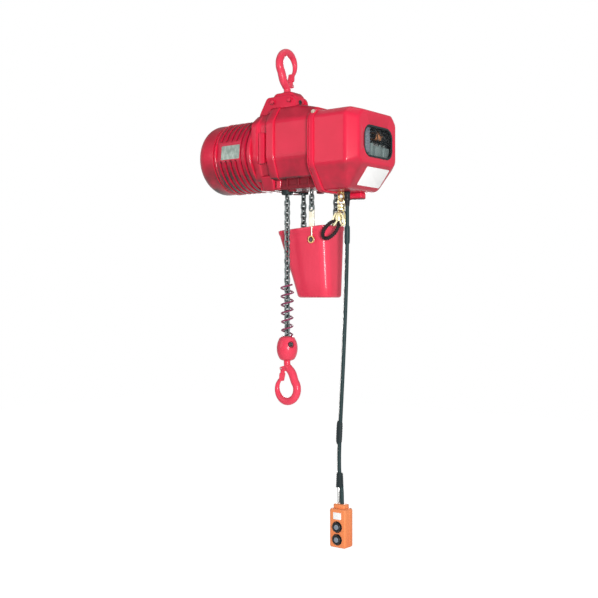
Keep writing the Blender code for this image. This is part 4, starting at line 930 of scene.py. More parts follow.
def casting_ring(x, half, top_half, bottom_half, top, low=CASTING_BOTTOM):
    """Section of the casting: eight sides whose lower slopes stop short and step in to a narrower foot."""
    edge_half = half + (bottom_half - half) * SLOPE_SHARE
    back = [
        (half, SHOULDER_Z),
        (half, WAIST_Z),
        (edge_half, SLOPE_END_Z),
        (edge_half - LEDGE_IN, SLOPE_END_Z - LEDGE_DOWN),
        (edge_half - FOOT_IN, low),
    ]
    front = [(-wide, z) for wide, z in back]
    corners = [*front, *back[::-1], (top_half, top), (-top_half, top)]
    reach = (*SLOPE_REACH, *SLOPE_REACH[::-1], TOP_REACH, TOP_REACH)
    ring = eased(corners, reach, 6, closed=True)
    return np.column_stack((np.full(len(ring), x), AXIS_Y + ring[:, 0], ring[:, 1]))


def on_both_sides(shape, place, facing):
    """Copies of a shape on the front and the back of the axis, with place and facing mirrored in Y."""
    copies = []
    for side in (-1, 1):
        where = (place[0], AXIS_Y + side * place[1], place[2])
        copies.append(placed(shape, where, (facing[0], side * facing[1], facing[2])))
    return copies


def make_casting():
    """Casting: sections along X eased into each other, a raised band, side panels, lugs and two cheeks."""
    rows = [casting_ring(*station) for station in eased(CASTING_STATIONS, STATION_REACH, 7)]
    band = []
    for x, grow in BAND_STEPS:
        top_half = CASTING_TOP_HALF + grow
        band.append(casting_ring(x, CASTING_HALF + grow, top_half, top_half, BAND_TOP))
    shapes = [surface(np.stack(rows)), surface(np.stack(band), caps=False)]
    shapes += on_both_sides(plate(**PANEL), PANEL_PLACE, PANEL_FACING)
    shapes += on_both_sides(plate(**LUG), LUG_PLACE, LUG_FACING)
    cheek = slab(eased(CHEEK_OUTLINE, CHEEK_REACH, 6, closed=True), CHEEK_HALF, CHEEK_HALF / 2)
    shapes += [placed(cheek, side * CHEEK_Y * Y_DIR, FRONT) for side in (-1, 1)]
    piece("casting", merge(*shapes), "cast_red", ["hoist_body"], crease=40)


def make_casting_foot():
    """Underside of the casting: a rounded ledge on a skirt, two chain bosses and ribs along both sides."""
    start, end = LEDGE_X
    corners = [(start, -LEDGE_HALF), (end, -LEDGE_HALF), (end, LEDGE_HALF), (start, LEDGE_HALF)]
    ledge = slab(eased(corners, LEDGE_CORNER, 6, closed=True), **LEDGE_SLAB)
    shapes = [placed(ledge, (0, AXIS_Y, LEDGE_Z), Z_DIR)]
    shapes.append(placed(plate(**SKIRT), SKIRT_PLACE, Z_DIR))
    boss = eased(BOSS_PROFILE, BOSS_EASE, 4)[::-1] * (1, -1)
    shapes += [turned(boss, (x, AXIS_Y + side * BOSS_AWAY, BOSS_Z), "Z", 24) for x, side in BOSSES]
    rib = plate(**RIB)
    for place in RIB_PLACES:
        shapes += on_both_sides(rib, place, Y_DIR)
    # Painted shade: the underside takes a dark copy of the casting's red
    piece("casting_foot", merge(*shapes), "shaded_red")


# Suspension

BRACKET_LOW, BRACKET_HIGH = span("suspension_bracket")
BRACKET_CHAMFER = 0.016
BRACKET_EDGE = 0.004
BRACKET_REACH = (0.001, 0.008, 0.008, 0.008, 0.008, 0.001)
BRACKET_COLLAR = ((0.0122, 0.0002), (0.0122, 0.0028), (0.016, 0.0028), (0.018, -0.0002))
COLLAR_EASE = 0.001
END_SCREW = dict(radius=0.0078, height=0.0022)
END_SCREW_SINK = 0.0002
END_SCREW_Z = -0.1520
BRACKET_HEAD = dict(across=0.0145, height=0.0056, washer=0.0092)
BRACKET_NUT = dict(across=0.0120, height=0.0050, washer=0.0085)
BOLT_LIFT = 0.0001
BOLT_SEAT = CHEEK_Y + CHEEK_HALF + BOLT_LIFT
WELL_EASE = 0.0002

# Shares of a bolt's or screw's own sizes
WASHER_THICKNESS = 0.16
WASHER_EASE = 0.06
HEAD_EASE = 0.16
WELL_WIDTH = 0.5
WELL_FLOOR = 0.35
WELL_TAPER = 0.96


def hex_bolt(across, height, washer):
    """Hex head with eased top corners on a round washer, standing on local Z = 0."""
    thick = washer * WASHER_THICKNESS
    hexagon = circle(6, across / math.sqrt(3))
    head = placed(slab(hexagon, height / 2, height * HEAD_EASE), (0, 0, thick + height / 2), Z_DIR)
    disc = eased([(0, thick), (washer, thick), (washer, 0), (0, 0)], washer * WASHER_EASE, 3)
    return merge(head, turned(disc, ORIGIN, "Z", 28))


def socket_screw(radius, height):
    """Round head with a round well in its top, standing on local Z = 0."""
    well = radius * WELL_WIDTH
    floor = height * WELL_FLOOR
    rise = [(0, floor), (well * WELL_TAPER, floor), (well, height), (radius, height), (radius, 0)]
    return turned(eased(rise, (0, 0, WELL_EASE, radius * HEAD_EASE, 0), 4), ORIGIN, "Z", 24)


def make_bracket():
    """Lug block under the hook: a chamfered outline in X and Z, a collar on top and a screw in its end."""
    left, half_depth, top = BRACKET_LOW[0], BRACKET_HIGH[1], BRACKET_HIGH[2]
    right, foot = BRACKET_HIGH[0], BRACKET_LOW[2]
    shoulder = top - BRACKET_CHAMFER
    corners = [(left, foot), (left, shoulder), (left + BRACKET_CHAMFER, top)]
    corners += [(right - BRACKET_CHAMFER, top), (right, shoulder), (right, foot)]
    outline = eased(corners, BRACKET_REACH, 6, closed=True)
    block = placed(slab(outline, half_depth, BRACKET_EDGE), ORIGIN, FRONT)
    collar = turned(eased(BRACKET_COLLAR, COLLAR_EASE, 4), top * Z_DIR, "Z", 40)
    piece("lug", merge(block, collar), "cast_red", ["suspension_bracket"])
    screw = placed(socket_screw(**END_SCREW), (right - END_SCREW_SINK, 0, END_SCREW_Z), X_DIR, Y_DIR)
    piece("lug_end_screw", screw, "dark_steel")


def make_bracket_bolts():
    """Hex heads on washers, front and back, painted over with the castings."""
    for name in ("left", "right"):
        node = f"bracket_bolt_{name}"
        x, _, z = middle_of(node)
        head = placed(hex_bolt(**BRACKET_HEAD), (x, -BOLT_SEAT, z), FRONT)
        nut = placed(hex_bolt(**BRACKET_NUT), (x, BOLT_SEAT, z), Y_DIR)
        piece(f"lug_bolt_{name}", merge(head, nut), "cast_red", [node])


# Motor

MOTOR_LOW, MOTOR_HIGH = span("motor_frame")
MOTOR_RANGE = (MOTOR_LOW[0], MOTOR_HIGH[0])
MOTOR_RADIUS = (MOTOR_HIGH[2] - MOTOR_LOW[2]) / 2
MOTOR_SIDES = 224
MOTOR_EDGE = 0.0015
MOTOR_EDGE_LENGTH = 0.0012
SLOT_COUNT = 6
SLOT_PITCH = 0.0215
SLOT_START = 0.009
SLOT_DEPTH = 0.010
SLOT_FLOOR_HALF = 0.0034
SLOT_MOUTH_HALF = 0.0050

# Grid lines about the middle of each slot
SLOT_GRID = (-0.0108, -0.0060, -0.0050, -0.0044, -0.0036, 0, 0.0036, 0.0044, 0.0050, 0.0060)

PAD_TURN = math.pi - math.radians(6)
PAD_HALF = math.radians(15.5)
PAD_FADE = 0.07
PAD_END = -0.1400
PAD_END_LENGTH = 0.002

NAMEPLATE = dict(size=(0.078, 0.046), corner=0.003, half=0.0006, edge=0.0003, steps=4)
NAMEPLATE_FIELD = dict(size=(0.062, 0.034), corner=0.001, half=0.0009, edge=0.0002, steps=3)
NAMEPLATE_X = -0.1800
NAMEPLATE_DROP = 0.005
NAMEPLATE_LIFT = 0.0005
RIVET_PROFILE = ((0, 0.0022), (0.0018, 0.0016), (0.0022, 0.0))
RIVET_HALF_SPAN = (0.0345, 0.0185)
RIVET_SEAT = 0.0004
RIVET_EASE = 0.001

CAP_LOW, CAP_HIGH = span("motor_end_cap")
CAP_RIM_X = CAP_HIGH[0]
CAP_INSET = 0.0002
CAP_FACE_X = CAP_LOW[0] + CAP_INSET
CAP_HUB_RADII = (0.0300, 0.0285)
CAP_DOME_X = -0.2920
CAP_FLAT_RADIUS = 0.068
CAP_DOME_WIDTH = 0.0490
CAP_HUB_SINK = 0.0016
CAP_SCREW = dict(radius=0.0052, height=0.0042)
CAP_SCREW_CIRCLE = 0.055

# Lip and groove of the cap: radius, and distance from the rim
CAP_LIP = (
    (0.0, 0.0),
    (0.1176, 0.0),
    (0.1190, -0.0013),
    (0.1190, -0.0067),
    (0.1176, -0.0079),
    (0.1120, -0.0085),
    (0.1120, -0.0145),
    (0.1168, -0.0153),
)

FLANGE_LOW, FLANGE_HIGH = span("motor_flange")
FLANGE_BORE = 0.0745
FLANGE_BEVEL = 0.0016
FLANGE_BEVEL_LENGTHS = (0.0013, 0.0015)


def make_motor_frame():
    """Finned frame: radius R less the depth of each slot; the plate's pad is a chord without slots."""
    centres = MOTOR_RANGE[1] - SLOT_START - SLOT_PITCH * np.arange(SLOT_COUNT)
    x = np.sort(np.concatenate(((centres[:, None] + np.array(SLOT_GRID)).ravel(), MOTOR_RANGE)))
    x = np.clip(x, *MOTOR_RANGE)
    nearest = np.abs(x[:, None] - centres).min(-1)
    slot = 1 - blend_step(nearest, SLOT_FLOOR_HALF, SLOT_MOUTH_HALF)
    angle = TAU * np.arange(MOTOR_SIDES) / MOTOR_SIDES
    away = np.abs((angle - PAD_TURN + QUARTER_TURN) % math.pi - QUARTER_TURN)
    beyond = blend_step(x, PAD_END, PAD_END + PAD_END_LENGTH)[:, None]
    finned = np.maximum(blend_step(away, PAD_HALF, PAD_HALF + PAD_FADE)[None], beyond)
    chord = MOTOR_RADIUS * math.cos(PAD_HALF) / np.cos(np.minimum(away, PAD_HALF))
    radius = MOTOR_RADIUS + (np.minimum(MOTOR_RADIUS, chord)[None] - MOTOR_RADIUS) * (1 - beyond)
    from_end = np.minimum(x - MOTOR_RANGE[0], MOTOR_RANGE[1] - x)
    edge = MOTOR_EDGE * (1 - blend_step(from_end, 0, MOTOR_EDGE_LENGTH))
    radius = radius - SLOT_DEPTH * slot[:, None] * finned - edge[:, None]
    wide, deep = radius * np.cos(angle), radius * np.sin(angle)
    tall = np.broadcast_to(x[:, None], wide.shape)
    points = np.stack((tall, AXIS_Y + wide, AXIS_Z + deep), -1)
    piece("finned_frame", surface(points), "fin_red", ["motor_frame"], crease=50)


def make_nameplate():
    """Bare plate with a raised field and four rivets, flat on the motor's front pad."""
    out = np.array((0, math.cos(PAD_TURN), math.sin(PAD_TURN)))
    seat = MOTOR_RADIUS * math.cos(PAD_HALF) + NAMEPLATE_LIFT
    centre = np.array((NAMEPLATE_X, AXIS_Y, AXIS_Z - NAMEPLATE_DROP)) + out * seat
    sheet = plate(**NAMEPLATE)
    field = plate(**NAMEPLATE_FIELD)
    rivet = turned(eased(RIVET_PROFILE, RIVET_EASE, 4), ORIGIN, "Z", 12)
    wide, high = RIVET_HALF_SPAN
    spots = [(x, y, RIVET_SEAT) for x in (-wide, wide) for y in (-high, high)]
    rivets = repeat(rivet, [frame_at(spot, Z_DIR) for spot in spots])
    piece("nameplate", placed(merge(sheet, field, rivets), centre, out), "plate")


def make_end_cap():
    """Smooth cap: a lip and groove at the frame, a quarter-oval dome and a flat hub with screws."""
    axis = (0, AXIS_Y, AXIS_Z)
    turn = np.linspace(0, QUARTER_TURN, 14)
    depth = (CAP_DOME_X - CAP_FACE_X) * np.sin(turn)
    dome = np.column_stack((CAP_FLAT_RADIUS + CAP_DOME_WIDTH * np.cos(turn), CAP_DOME_X - depth))
    sunk = CAP_FACE_X + CAP_HUB_SINK
    hub = [(CAP_HUB_RADII[0], CAP_FACE_X), (CAP_HUB_RADII[1], sunk), (0.0, sunk)]
    cap = turned(np.concatenate((np.array(CAP_LIP) + (0, CAP_RIM_X), dome, hub)), axis, "X", 112)
    piece("end_cap", cap, "cast_red", ["motor_end_cap"], crease=30)
    screws = []
    for angle in np.radians((45, 135, 225, 315)):
        out = np.array((0, math.cos(angle), math.sin(angle)))
        spot = np.array((sunk, AXIS_Y, AXIS_Z)) + out * CAP_SCREW_CIRCLE
        screws.append(placed(socket_screw(**CAP_SCREW), spot, -X_DIR, Y_DIR))
    piece("end_cap_screws", merge(*screws), "dark_steel")


def make_flange():
    """Mounting flange: a bevelled ring between the motor's frame and the casting."""
    start, end = FLANGE_LOW[0], FLANGE_HIGH[0]
    radius = (FLANGE_HIGH[2] - FLANGE_LOW[2]) / 2
    inner = radius - FLANGE_BEVEL
    profile = [(FLANGE_BORE, start), (inner, start), (radius, start + FLANGE_BEVEL_LENGTHS[0])]
    profile += [(radius, end - FLANGE_BEVEL_LENGTHS[1]), (inner, end), (FLANGE_BORE, end)]
    profile.append(profile[0])
    piece("flange", turned(profile, (0, AXIS_Y, AXIS_Z), "X", 112), "cast_red", ["motor_flange"], crease=30)


make_casting()
make_casting_foot()
make_bracket()
make_bracket_bolts()
make_motor_frame()
make_nameplate()
make_end_cap()
make_flange()


# Gear cover and control cover

COVER_LOW, COVER_HIGH = span("control_cover")
COVER_START_X, COVER_END_X = COVER_LOW[0], COVER_HIGH[0]
COVER_CORNER_X = 0.281
COVER_LOW_X = 0.256
COVER_HALF = AXIS_Y - COVER_LOW[1]
COVER_BACK_EXTRA = COVER_HIGH[1] - AXIS_Y - COVER_HALF

# Half sections at the rim and at the end face: half width and height, from the top down
COVER_SECTION = ((0.103, COVER_HIGH[2]), (COVER_HALF, -0.218), (COVER_HALF, -0.366), (0.073, COVER_LOW[2]))
COVER_END_SECTION = ((0.0722, -0.206), (0.0952, -0.232), (0.0952, -0.350), (0.0812, -0.366))
COVER_REACH = (0.011, 0.009, 0.010, 0.011)
RAIL_REACH = (0.002, 0.009, 0.008, 0.001)
END_FACE_SHRINK = (1, 0.93, 0.88)
LINING_MIDDLE = np.array((COVER_START_X, 0.0507, -0.310))
LINING_SHRINK = (0.975, 0.965, 0.965)
LINING_SHIFT = (0.0006, 0, 0)
LINING_CLOSE = (1, 0.01, 0.01)

WINDOW_MIDDLE = np.array((COVER_END_X, 0.055, -0.297))
WINDOW_SIZE = np.array((0.158, 0.097))
WINDOW_CORNER = 0.033
WINDOW_EDGE = ((-0.0006, 0), (0, 0.0006), (0, 0.004))
GASKET_INSET = 0.0026
GASKET_SINK = 0.0016
GASKET_SECTION = dict(width=0.0060, height=0.0046, corner=0.0012, steps=4)

# Rim between casting and cover: x, and how far it stands out of the cover's section
RIM_REACH = 0.017
RIM_STEPS = (
    (0.1404, 0.0005),
    (0.1412, 0.0022),
    (0.1424, 0.0028),
    (0.1450, 0.0028),
    (0.1460, 0.0006),
    (0.1476, 0.0006),
    (0.1486, 0.0036),
    (0.1502, 0.0050),
    (0.1640, 0.0050),
    (0.1658, 0.0036),
    (0.1668, -0.0020),
)
RIM_BOLT = dict(across=0.010, height=0.005, washer=0.007)
RIM_BOLT_X = 0.1580

# Rim bolts: y and z of the seat, and the way it faces
RIM_BOLTS = (
    (-0.0733, -0.2045, (0, -0.67, 0.74)),
    (0.1747, -0.2045, (0, 0.67, 0.74)),
    (0.020, -0.1945, Z_DIR),
    (0.085, -0.1945, Z_DIR),
)

END_SLOPE = unit(np.array((0.074, 0, -0.055)))
LABEL = dict(size=(0.122, 0.066), corner=0.004, half=0.0007, edge=0.0003, steps=5)
LABEL_LIFT = 0.0008
LABEL_MIDDLE = np.array((0.2853, 0.064, -0.4006))
FOOT_LOW = (0.164, 0.094, -0.4600)
FOOT_HIGH = (0.220, 0.124, -0.4380)


def cover_corners(half_section, stations):
    """Eight corners, front side downwards and back side upwards; the back half stands further out."""
    front = [(x, AXIS_Y - half, z) for x, (half, z) in zip(stations, half_section)]
    back = [(x, AXIS_Y + half + COVER_BACK_EXTRA, z) for x, (half, z) in zip(stations, half_section)]
    return np.array(front + back[::-1])


def window_ring(inset, x, steps=12):
    """Window outline in the end face, starting at its front top corner."""
    outline = rounded_rectangle(*(WINDOW_SIZE - 2 * inset), WINDOW_CORNER - inset, steps)
    outline = np.roll(outline, -steps, 0) + WINDOW_MIDDLE[1:]
    return np.column_stack((np.full(len(outline), x), outline))


def make_control_cover():
    """Deep cover: eight rails from rim to end face, eased both ways, to the window's edge; a black lining
    inside is painted shade.
    """
    start = cover_corners(COVER_SECTION, [COVER_START_X] * 4)
    turn = cover_corners(COVER_SECTION, [COVER_CORNER_X] * 3 + [COVER_LOW_X])
    end = cover_corners(COVER_END_SECTION, [COVER_END_X] * 4)
    inner = WINDOW_MIDDLE + (end - WINDOW_MIDDLE) * END_FACE_SHRINK
    rails = np.stack((start, turn, end, inner))
    rails = np.stack([eased(rails[:, i], RAIL_REACH, 9) for i in range(rails.shape[1])], 1)
    rows = [eased(ring, (*COVER_REACH, *COVER_REACH[::-1]), 6, closed=True) for ring in rails]
    edge = [window_ring(inset, COVER_END_X - sink) for inset, sink in WINDOW_EDGE]
    cover = surface(np.stack(rows + edge), caps=False)
    piece("deep_cover", cover, "sheet_red", ["control_cover"], crease=45)
    lining = LINING_MIDDLE + (np.stack(rows) - LINING_MIDDLE) * LINING_SHRINK + LINING_SHIFT
    closing = LINING_MIDDLE + (lining[:1] - LINING_MIDDLE) * LINING_CLOSE
    lining = surface(np.concatenate((closing, lining)), caps=False)
    # Black rubber lining: painted shade inside the cover
    piece("cover_shade_lining", lining, "rubber", crease=45)


def make_rim():
    """Raised rim: the cover's section pulled out over a narrow lip, a groove and a wide band, with bolts."""
    rows = []
    for x, grow in RIM_STEPS:
        rises = (grow, 0, 0, -grow)
        section = [(half + grow, z + rise) for (half, z), rise in zip(COVER_SECTION, rises)]
        rows.append(eased(cover_corners(section, [x] * 4), RIM_REACH, 6, closed=True))
    piece("rim", surface(np.stack(rows)), "sheet_red", ["gear_cover"], crease=40)
    bolt = hex_bolt(**RIM_BOLT)
    bolts = [placed(bolt, (RIM_BOLT_X, y, z), out) for y, z, out in RIM_BOLTS]
    piece("rim_bolts", merge(*bolts), "zinc")


def make_gasket():
    """Rubber frame: a thin rounded strip carried round the window."""
    path = window_ring(GASKET_INSET, COVER_END_X - GASKET_SINK, 14)
    strip = swept(path, rounded_rectangle(**GASKET_SECTION), X_DIR, closed=True)
    piece("gasket", strip, "rubber", ["window_gasket"])


def make_label():
    """Bare label plate on the end's lower slope, its edges rounded."""
    sheet = placed(plate(**LABEL), LABEL_MIDDLE + END_SLOPE * LABEL_LIFT, END_SLOPE, Y_DIR)
    piece("bare_label", sheet, "label")


# Electrics on the gear cover, and what the window shows

# Blocks of a contactor, about its middle in Y: x range, half width, z range and edge
CONTACTOR_FRONT = ((0.204, 0.2366), 0.019, (-0.353, -0.307), 0.0025)
CONTACTOR_BUTTON = ((0.234, 0.2392), 0.007, (-0.338, -0.322), 0.0015)
CONTACTOR_FIN = ((0.19, 0.211), 0.0012, (-0.3665, -0.2935), 0.0005)
CONTACTOR_BASE_X = 0.206
CONTACTOR_FIN_PITCH = 0.011
CONTACTOR_SCREW_X = 0.2055
CONTACTOR_SCREW = dict(radius=0.0034, height=0.003)
CONTACTOR_SCREW_Y = 0.0105 * np.array((-1.5, -0.5, 0.5, 1.5))
CONTACTOR_SCREW_Z = (-0.300, -0.360)
CORE_FRONT_X = 0.2216
WINDING = dict(middle=(0.1966, 0.0400, -0.258), half_wide=0.0285, half_high=0.0266, length=0.0250, turns=18)
FORMER_LOW = (0.160, 0.026, -0.2865)
FORMER_HIGH = (0.2266, 0.054, -0.2295)
TERMINAL_COUNT = 9
TERMINAL_PITCH = 0.0125
TERMINAL_HALF = 0.0058
TERMINAL_FIRST_Z = -0.347
TERMINAL_SCREW = dict(radius=0.0034, height=0.0028)
TERMINAL_SCREW_X = 0.2112
TERMINAL_SCREW_Y = (-0.0235, -0.0125)
COIL_WIRE = 0.0009

RAIL_X = (0.2500, 0.2534)
RAIL_Y = (-0.079, 0.181)
RAIL_HALF = 0.006
RAIL_HEIGHTS = (-0.318, -0.268)
GEAR_X = 0.2532
BAR_HIGH = (0.2860, 0.046, -0.246)
BAR_LOW = (GEAR_X, 0.016, -0.326)
RIDGE_X = (0.2850, 0.2880)
RIDGE_Y = (0.0165, 0.0455)
RIDGE_HALF = 0.0012
RIDGE_HEIGHTS = np.linspace(-0.3200, -0.2520, 8)
RELAY_Y = (0.088, 0.131)
RELAY_BASE = ((GEAR_X, 0.2780), 0.0205, (-0.350, -0.292), 0.002)
RELAY_TOP = ((0.2770, 0.2910), 0.0165, (-0.338, -0.304), 0.002)
RELAY_SCREW = dict(radius=0.0036, height=0.0032)
RELAY_SCREW_X = 0.2776
RELAY_SCREW_PITCH = 0.011
RELAY_SCREW_Z = (-0.3445, -0.2975)
CHOKE_FRAME_LOW = (GEAR_X, 0.070, -0.288)
CHOKE_FRAME_HIGH = (0.2640, 0.122, -0.250)
CHOKE = dict(middle=(0.2740, 0.096, -0.268), half_wide=0.0125, half_high=0.0150, length=0.034, turns=18)

# Leads: y at the relay, and the height that each climbs to
LEADS = ((0.078, -0.262), (0.098, -0.256), (0.121, -0.268), (0.141, -0.258))
LEAD_RADIUS = 0.0017

# Bends of a lead: x, shift in y, and z; the third is at the lead's own height and the fourth a little lower
LEAD_START = ((0.279, 0.0, -0.298), (0.293, 0.002, -0.288))
LEAD_TOP = (0.292, -0.010)
LEAD_END = (0.276, -0.030)
LEAD_SPREAD = 0.004
LEAD_DIP = 0.002


def block_at(y, x_range, half, z_range, edge):
    """Rounded block from an x range, a half width about y and a z range."""
    low, high = zip(x_range, (y - half, y + half), z_range)
    return soft_box(low, high, edge)


def coil_of_wire(middle, half_wide, half_high, length, turns):
    """Wire wound on Y: an oval helix about a middle."""
    turn = np.linspace(0, turns * TAU, turns * 24)
    along = np.linspace(-length / 2, length / 2, len(turn))
    path = np.column_stack((half_wide * np.cos(turn), along, half_high * np.sin(turn)))
    return tube(path + np.asarray(middle, float), COIL_WIRE, 5)


def make_contactor(name):
    """Stepped contactor block with fins and a button; gives its screws."""
    node = f"contactor_{name}"
    low, high = span(node)
    y = middle_of(node)[1]
    blocks = [soft_box(low, (CONTACTOR_BASE_X, *high[1:]), edge=0.002)]
    blocks += [block_at(y, *CONTACTOR_FRONT), block_at(y, *CONTACTOR_BUTTON)]
    blocks += [block_at(y + k * CONTACTOR_FIN_PITCH, *CONTACTOR_FIN) for k in (-1, 0, 1)]
    piece(f"contactor_block_{name}", merge(*blocks), "grey", [node])
    spots = [(CONTACTOR_SCREW_X, y + away, z) for away in CONTACTOR_SCREW_Y for z in CONTACTOR_SCREW_Z]
    return [placed(socket_screw(**CONTACTOR_SCREW), spot, X_DIR) for spot in spots]


def make_electrics():
    """Contactors, transformer with its winding, terminal strip, and the screws of them all."""
    screws = make_contactor("up") + make_contactor("down")
    low, high = span("transformer")
    core = soft_box(low, (CORE_FRONT_X, *high[1:]), edge=0.0015)
    piece("transformer_core", core, "lamination", ["transformer"])
    former = soft_box(FORMER_LOW, FORMER_HIGH, edge=0.006)
    piece("winding", merge(former, coil_of_wire(**WINDING)), "copper")
    low, high = span("terminal_strip")
    blocks = []
    for z in TERMINAL_FIRST_Z + TERMINAL_PITCH * np.arange(TERMINAL_COUNT):
        blocks.append(soft_box((*low[:2], z - TERMINAL_HALF), (*high[:2], z + TERMINAL_HALF), edge=0.0012))
        spots = [(TERMINAL_SCREW_X, y, z) for y in TERMINAL_SCREW_Y]
        screws += [placed(socket_screw(**TERMINAL_SCREW), spot, X_DIR) for spot in spots]
    piece("terminals", merge(*blocks), "white", ["terminal_strip"])
    piece("terminal_screws", merge(*screws), "steel")


def make_relays():
    """Two stepped relays side by side, with their screws."""
    relays, screws = [], []
    for y in RELAY_Y:
        relays += [block_at(y, *RELAY_BASE), block_at(y, *RELAY_TOP)]
        spots = [(RELAY_SCREW_X, y + k * RELAY_SCREW_PITCH, z) for k in (-1, 0, 1) for z in RELAY_SCREW_Z]
        screws += [placed(socket_screw(**RELAY_SCREW), spot, X_DIR) for spot in spots]
    piece("relays", merge(*relays), "grey")
    piece("relay_screws", merge(*screws), "steel")


def make_window_gear():
    """What the window shows: rails across the cover with a ridged bar, relays, a wound choke and leads."""
    rails = []
    for z in RAIL_HEIGHTS:
        low, high = zip(RAIL_X, RAIL_Y, (z - RAIL_HALF, z + RAIL_HALF))
        rails.append(soft_box(low, high, edge=0.001))
    piece("gear_rails", merge(*rails), "steel")
    bar = [soft_box(BAR_LOW, BAR_HIGH, edge=0.002)]
    for z in RIDGE_HEIGHTS:
        low, high = zip(RIDGE_X, RIDGE_Y, (z - RIDGE_HALF, z + RIDGE_HALF))
        bar.append(soft_box(low, high, edge=0.0004))
    piece("terminal_bar", merge(*bar), "slate_cap")
    make_relays()
    piece("choke_frame", soft_box(CHOKE_FRAME_LOW, CHOKE_FRAME_HIGH, edge=0.002), "dark_steel")
    piece("choke", coil_of_wire(**CHOKE), "copper")
    leads = []
    for k, (y, high) in enumerate(LEADS):
        route = [(x, y + shift, z) for x, shift, z in LEAD_START]
        route.append((LEAD_TOP[0], y + LEAD_TOP[1], high))
        route.append((LEAD_END[0], y + LEAD_END[1] - LEAD_SPREAD * k, high - LEAD_DIP))
        leads.append(tube(through(route, 8), LEAD_RADIUS, 8))
    piece("leads", merge(*leads), "black")


make_control_cover()
make_rim()
make_gasket()
make_label()
make_electrics()
make_window_gear()
piece("cover_foot", soft_box(FOOT_LOW, FOOT_HIGH, edge=0.005), "cast_red")


# Hooks and latches, drawn in a plane whose first axis points to the latch and second to the shank

TOP_PLACE = np.array(((0, 0, -1, 0), (1, 0, 0, 0), (0, -1, 0, 0), (0, 0, 0, 1)), float)
BOTTOM_SADDLE_Z = span("bottom_hook")[0][2] + span("top_hook")[1][2]
BOTTOM_PLACE = np.array(((-1, 0, 0, 0), (0, 0, 1, 0), (0, 1, 0, BOTTOM_SADDLE_Z), (0, 0, 0, 1)), float)
LATCH_PIVOT = middle_of("top_latch_pin")[1:] * (1, -1)

# Bowl: angles round it, and the stock's radius there, thicker at the back and thinner to the tip
BOWL_RADIUS = 0.0402
BOWL_MIDDLE = np.array((0.0006, 0.0272))
BOWL_DEGREES = np.arange(140, 401, 20)
BOWL_BACK = np.maximum(0, 260 - BOWL_DEGREES) / 120
BOWL_TIP = np.maximum(0, BOWL_DEGREES - 280) / 120
BOWL_STOCK = 0.0124 + 0.0010 * BOWL_BACK - 0.0065 * BOWL_TIP

# Shank: its two heights, then the bend into the bowl as (first axis, second axis, third, radius)
SHANK_HEIGHTS = (0.131, 0.104)
SHANK_BEND = ((-0.007, 0.0935, 0, 0.0125), (-0.020, 0.0780, 0, 0.0136))
FORGED_SECTION = (1.0, 0.94)
NOSE_TURN = np.linspace(0.2, QUARTER_TURN - 0.05, 6)
EAR_ROOT = (-0.006, 0.0935)
EAR_RADII = (0.0100, 0.0066)
EAR_SLAB = dict(half=0.0015, edge=0.0008)
EAR_AWAY = 0.0078
LATCH_NECK = LATCH_PIVOT + (0.0022, -0.0180)
LATCH_END = np.array((0.0230, 0.0535))
LATCH_RIB_START = LATCH_NECK + (0.0016, -0.002)
LATCH_RIB_END = LATCH_END + (0.0010, 0.009)

# Latch pieces: radii at both ends of the outline, then half the thickness; they share one edge
LATCH_ROOT = ((0.0056, 0.0042), 0.0060)
LATCH_TONGUE = ((0.0042, 0.0026), 0.0112)
LATCH_RIB = ((0.0040, 0.0030), 0.0034)
LATCH_EDGE = 0.0010


def capsule(start, end, start_radius, end_radius, steps=9):
    """Outline of a flat bar with round ends of two sizes."""
    start, end = np.asarray(start, float), np.asarray(end, float)
    lean = math.atan2(*(end - start)[::-1])
    turn = np.linspace(-QUARTER_TURN, QUARTER_TURN, steps)
    ends = ((end, end_radius, lean), (start, start_radius, lean + math.pi))
    arcs = [c + r * np.column_stack((np.cos(turn + a), np.sin(turn + a))) for c, r, a in ends]
    return np.concatenate(arcs)


def make_hook(name, place, body, node, neck):
    """Forged hook: an oval section whose size follows the route, shank to tip, with a round nose and ears."""
    angle = np.radians(BOWL_DEGREES)
    bowl = np.column_stack((BOWL_RADIUS * np.cos(angle), BOWL_RADIUS * np.sin(angle), 0 * angle, BOWL_STOCK))
    bowl[:, :2] += BOWL_MIDDLE
    shank = [(0, height, 0, neck) for height in SHANK_HEIGHTS]
    route = through(np.concatenate((shank, SHANK_BEND, bowl)), 6)
    ahead = unit(route[-1, :3] - route[-2, :3])
    cap = route[-1, :3] + np.outer(np.sin(NOSE_TURN) * route[-1, 3], ahead)
    route = np.concatenate((route, np.column_stack((cap, np.cos(NOSE_TURN) * route[-1, 3]))))
    forged = swept(route[:, :3], circle(24) * FORGED_SECTION, Z_DIR, route[:, 3])
    ear = slab(capsule(EAR_ROOT, LATCH_PIVOT, *EAR_RADII), **EAR_SLAB)
    ears = [placed(ear, side * EAR_AWAY * Z_DIR, Z_DIR) for side in (-1, 1)]
    piece(f"{name}_forging", repeat(merge(forged, *ears), [place]), "bright_red", [node], body)


def latch_bar(start, end, radii, half):
    """One bar of a latch, between two points of the hook's plane."""
    return slab(capsule(start, end, *radii), half, LATCH_EDGE)


def make_latch(name, place, body, node):
    """Sheet latch: a root that fits between the ears, widening below them into a tongue with a raised rib."""
    root = latch_bar(LATCH_PIVOT, LATCH_NECK, *LATCH_ROOT)
    tongue = latch_bar(LATCH_NECK, LATCH_END, *LATCH_TONGUE)
    rib = latch_bar(LATCH_RIB_START, LATCH_RIB_END, *LATCH_RIB)
    piece(f"{name}_tongue", repeat(merge(root, tongue, rib), [place]), "bright_red", [node], body)


# Chain, striker, spring and bottom block

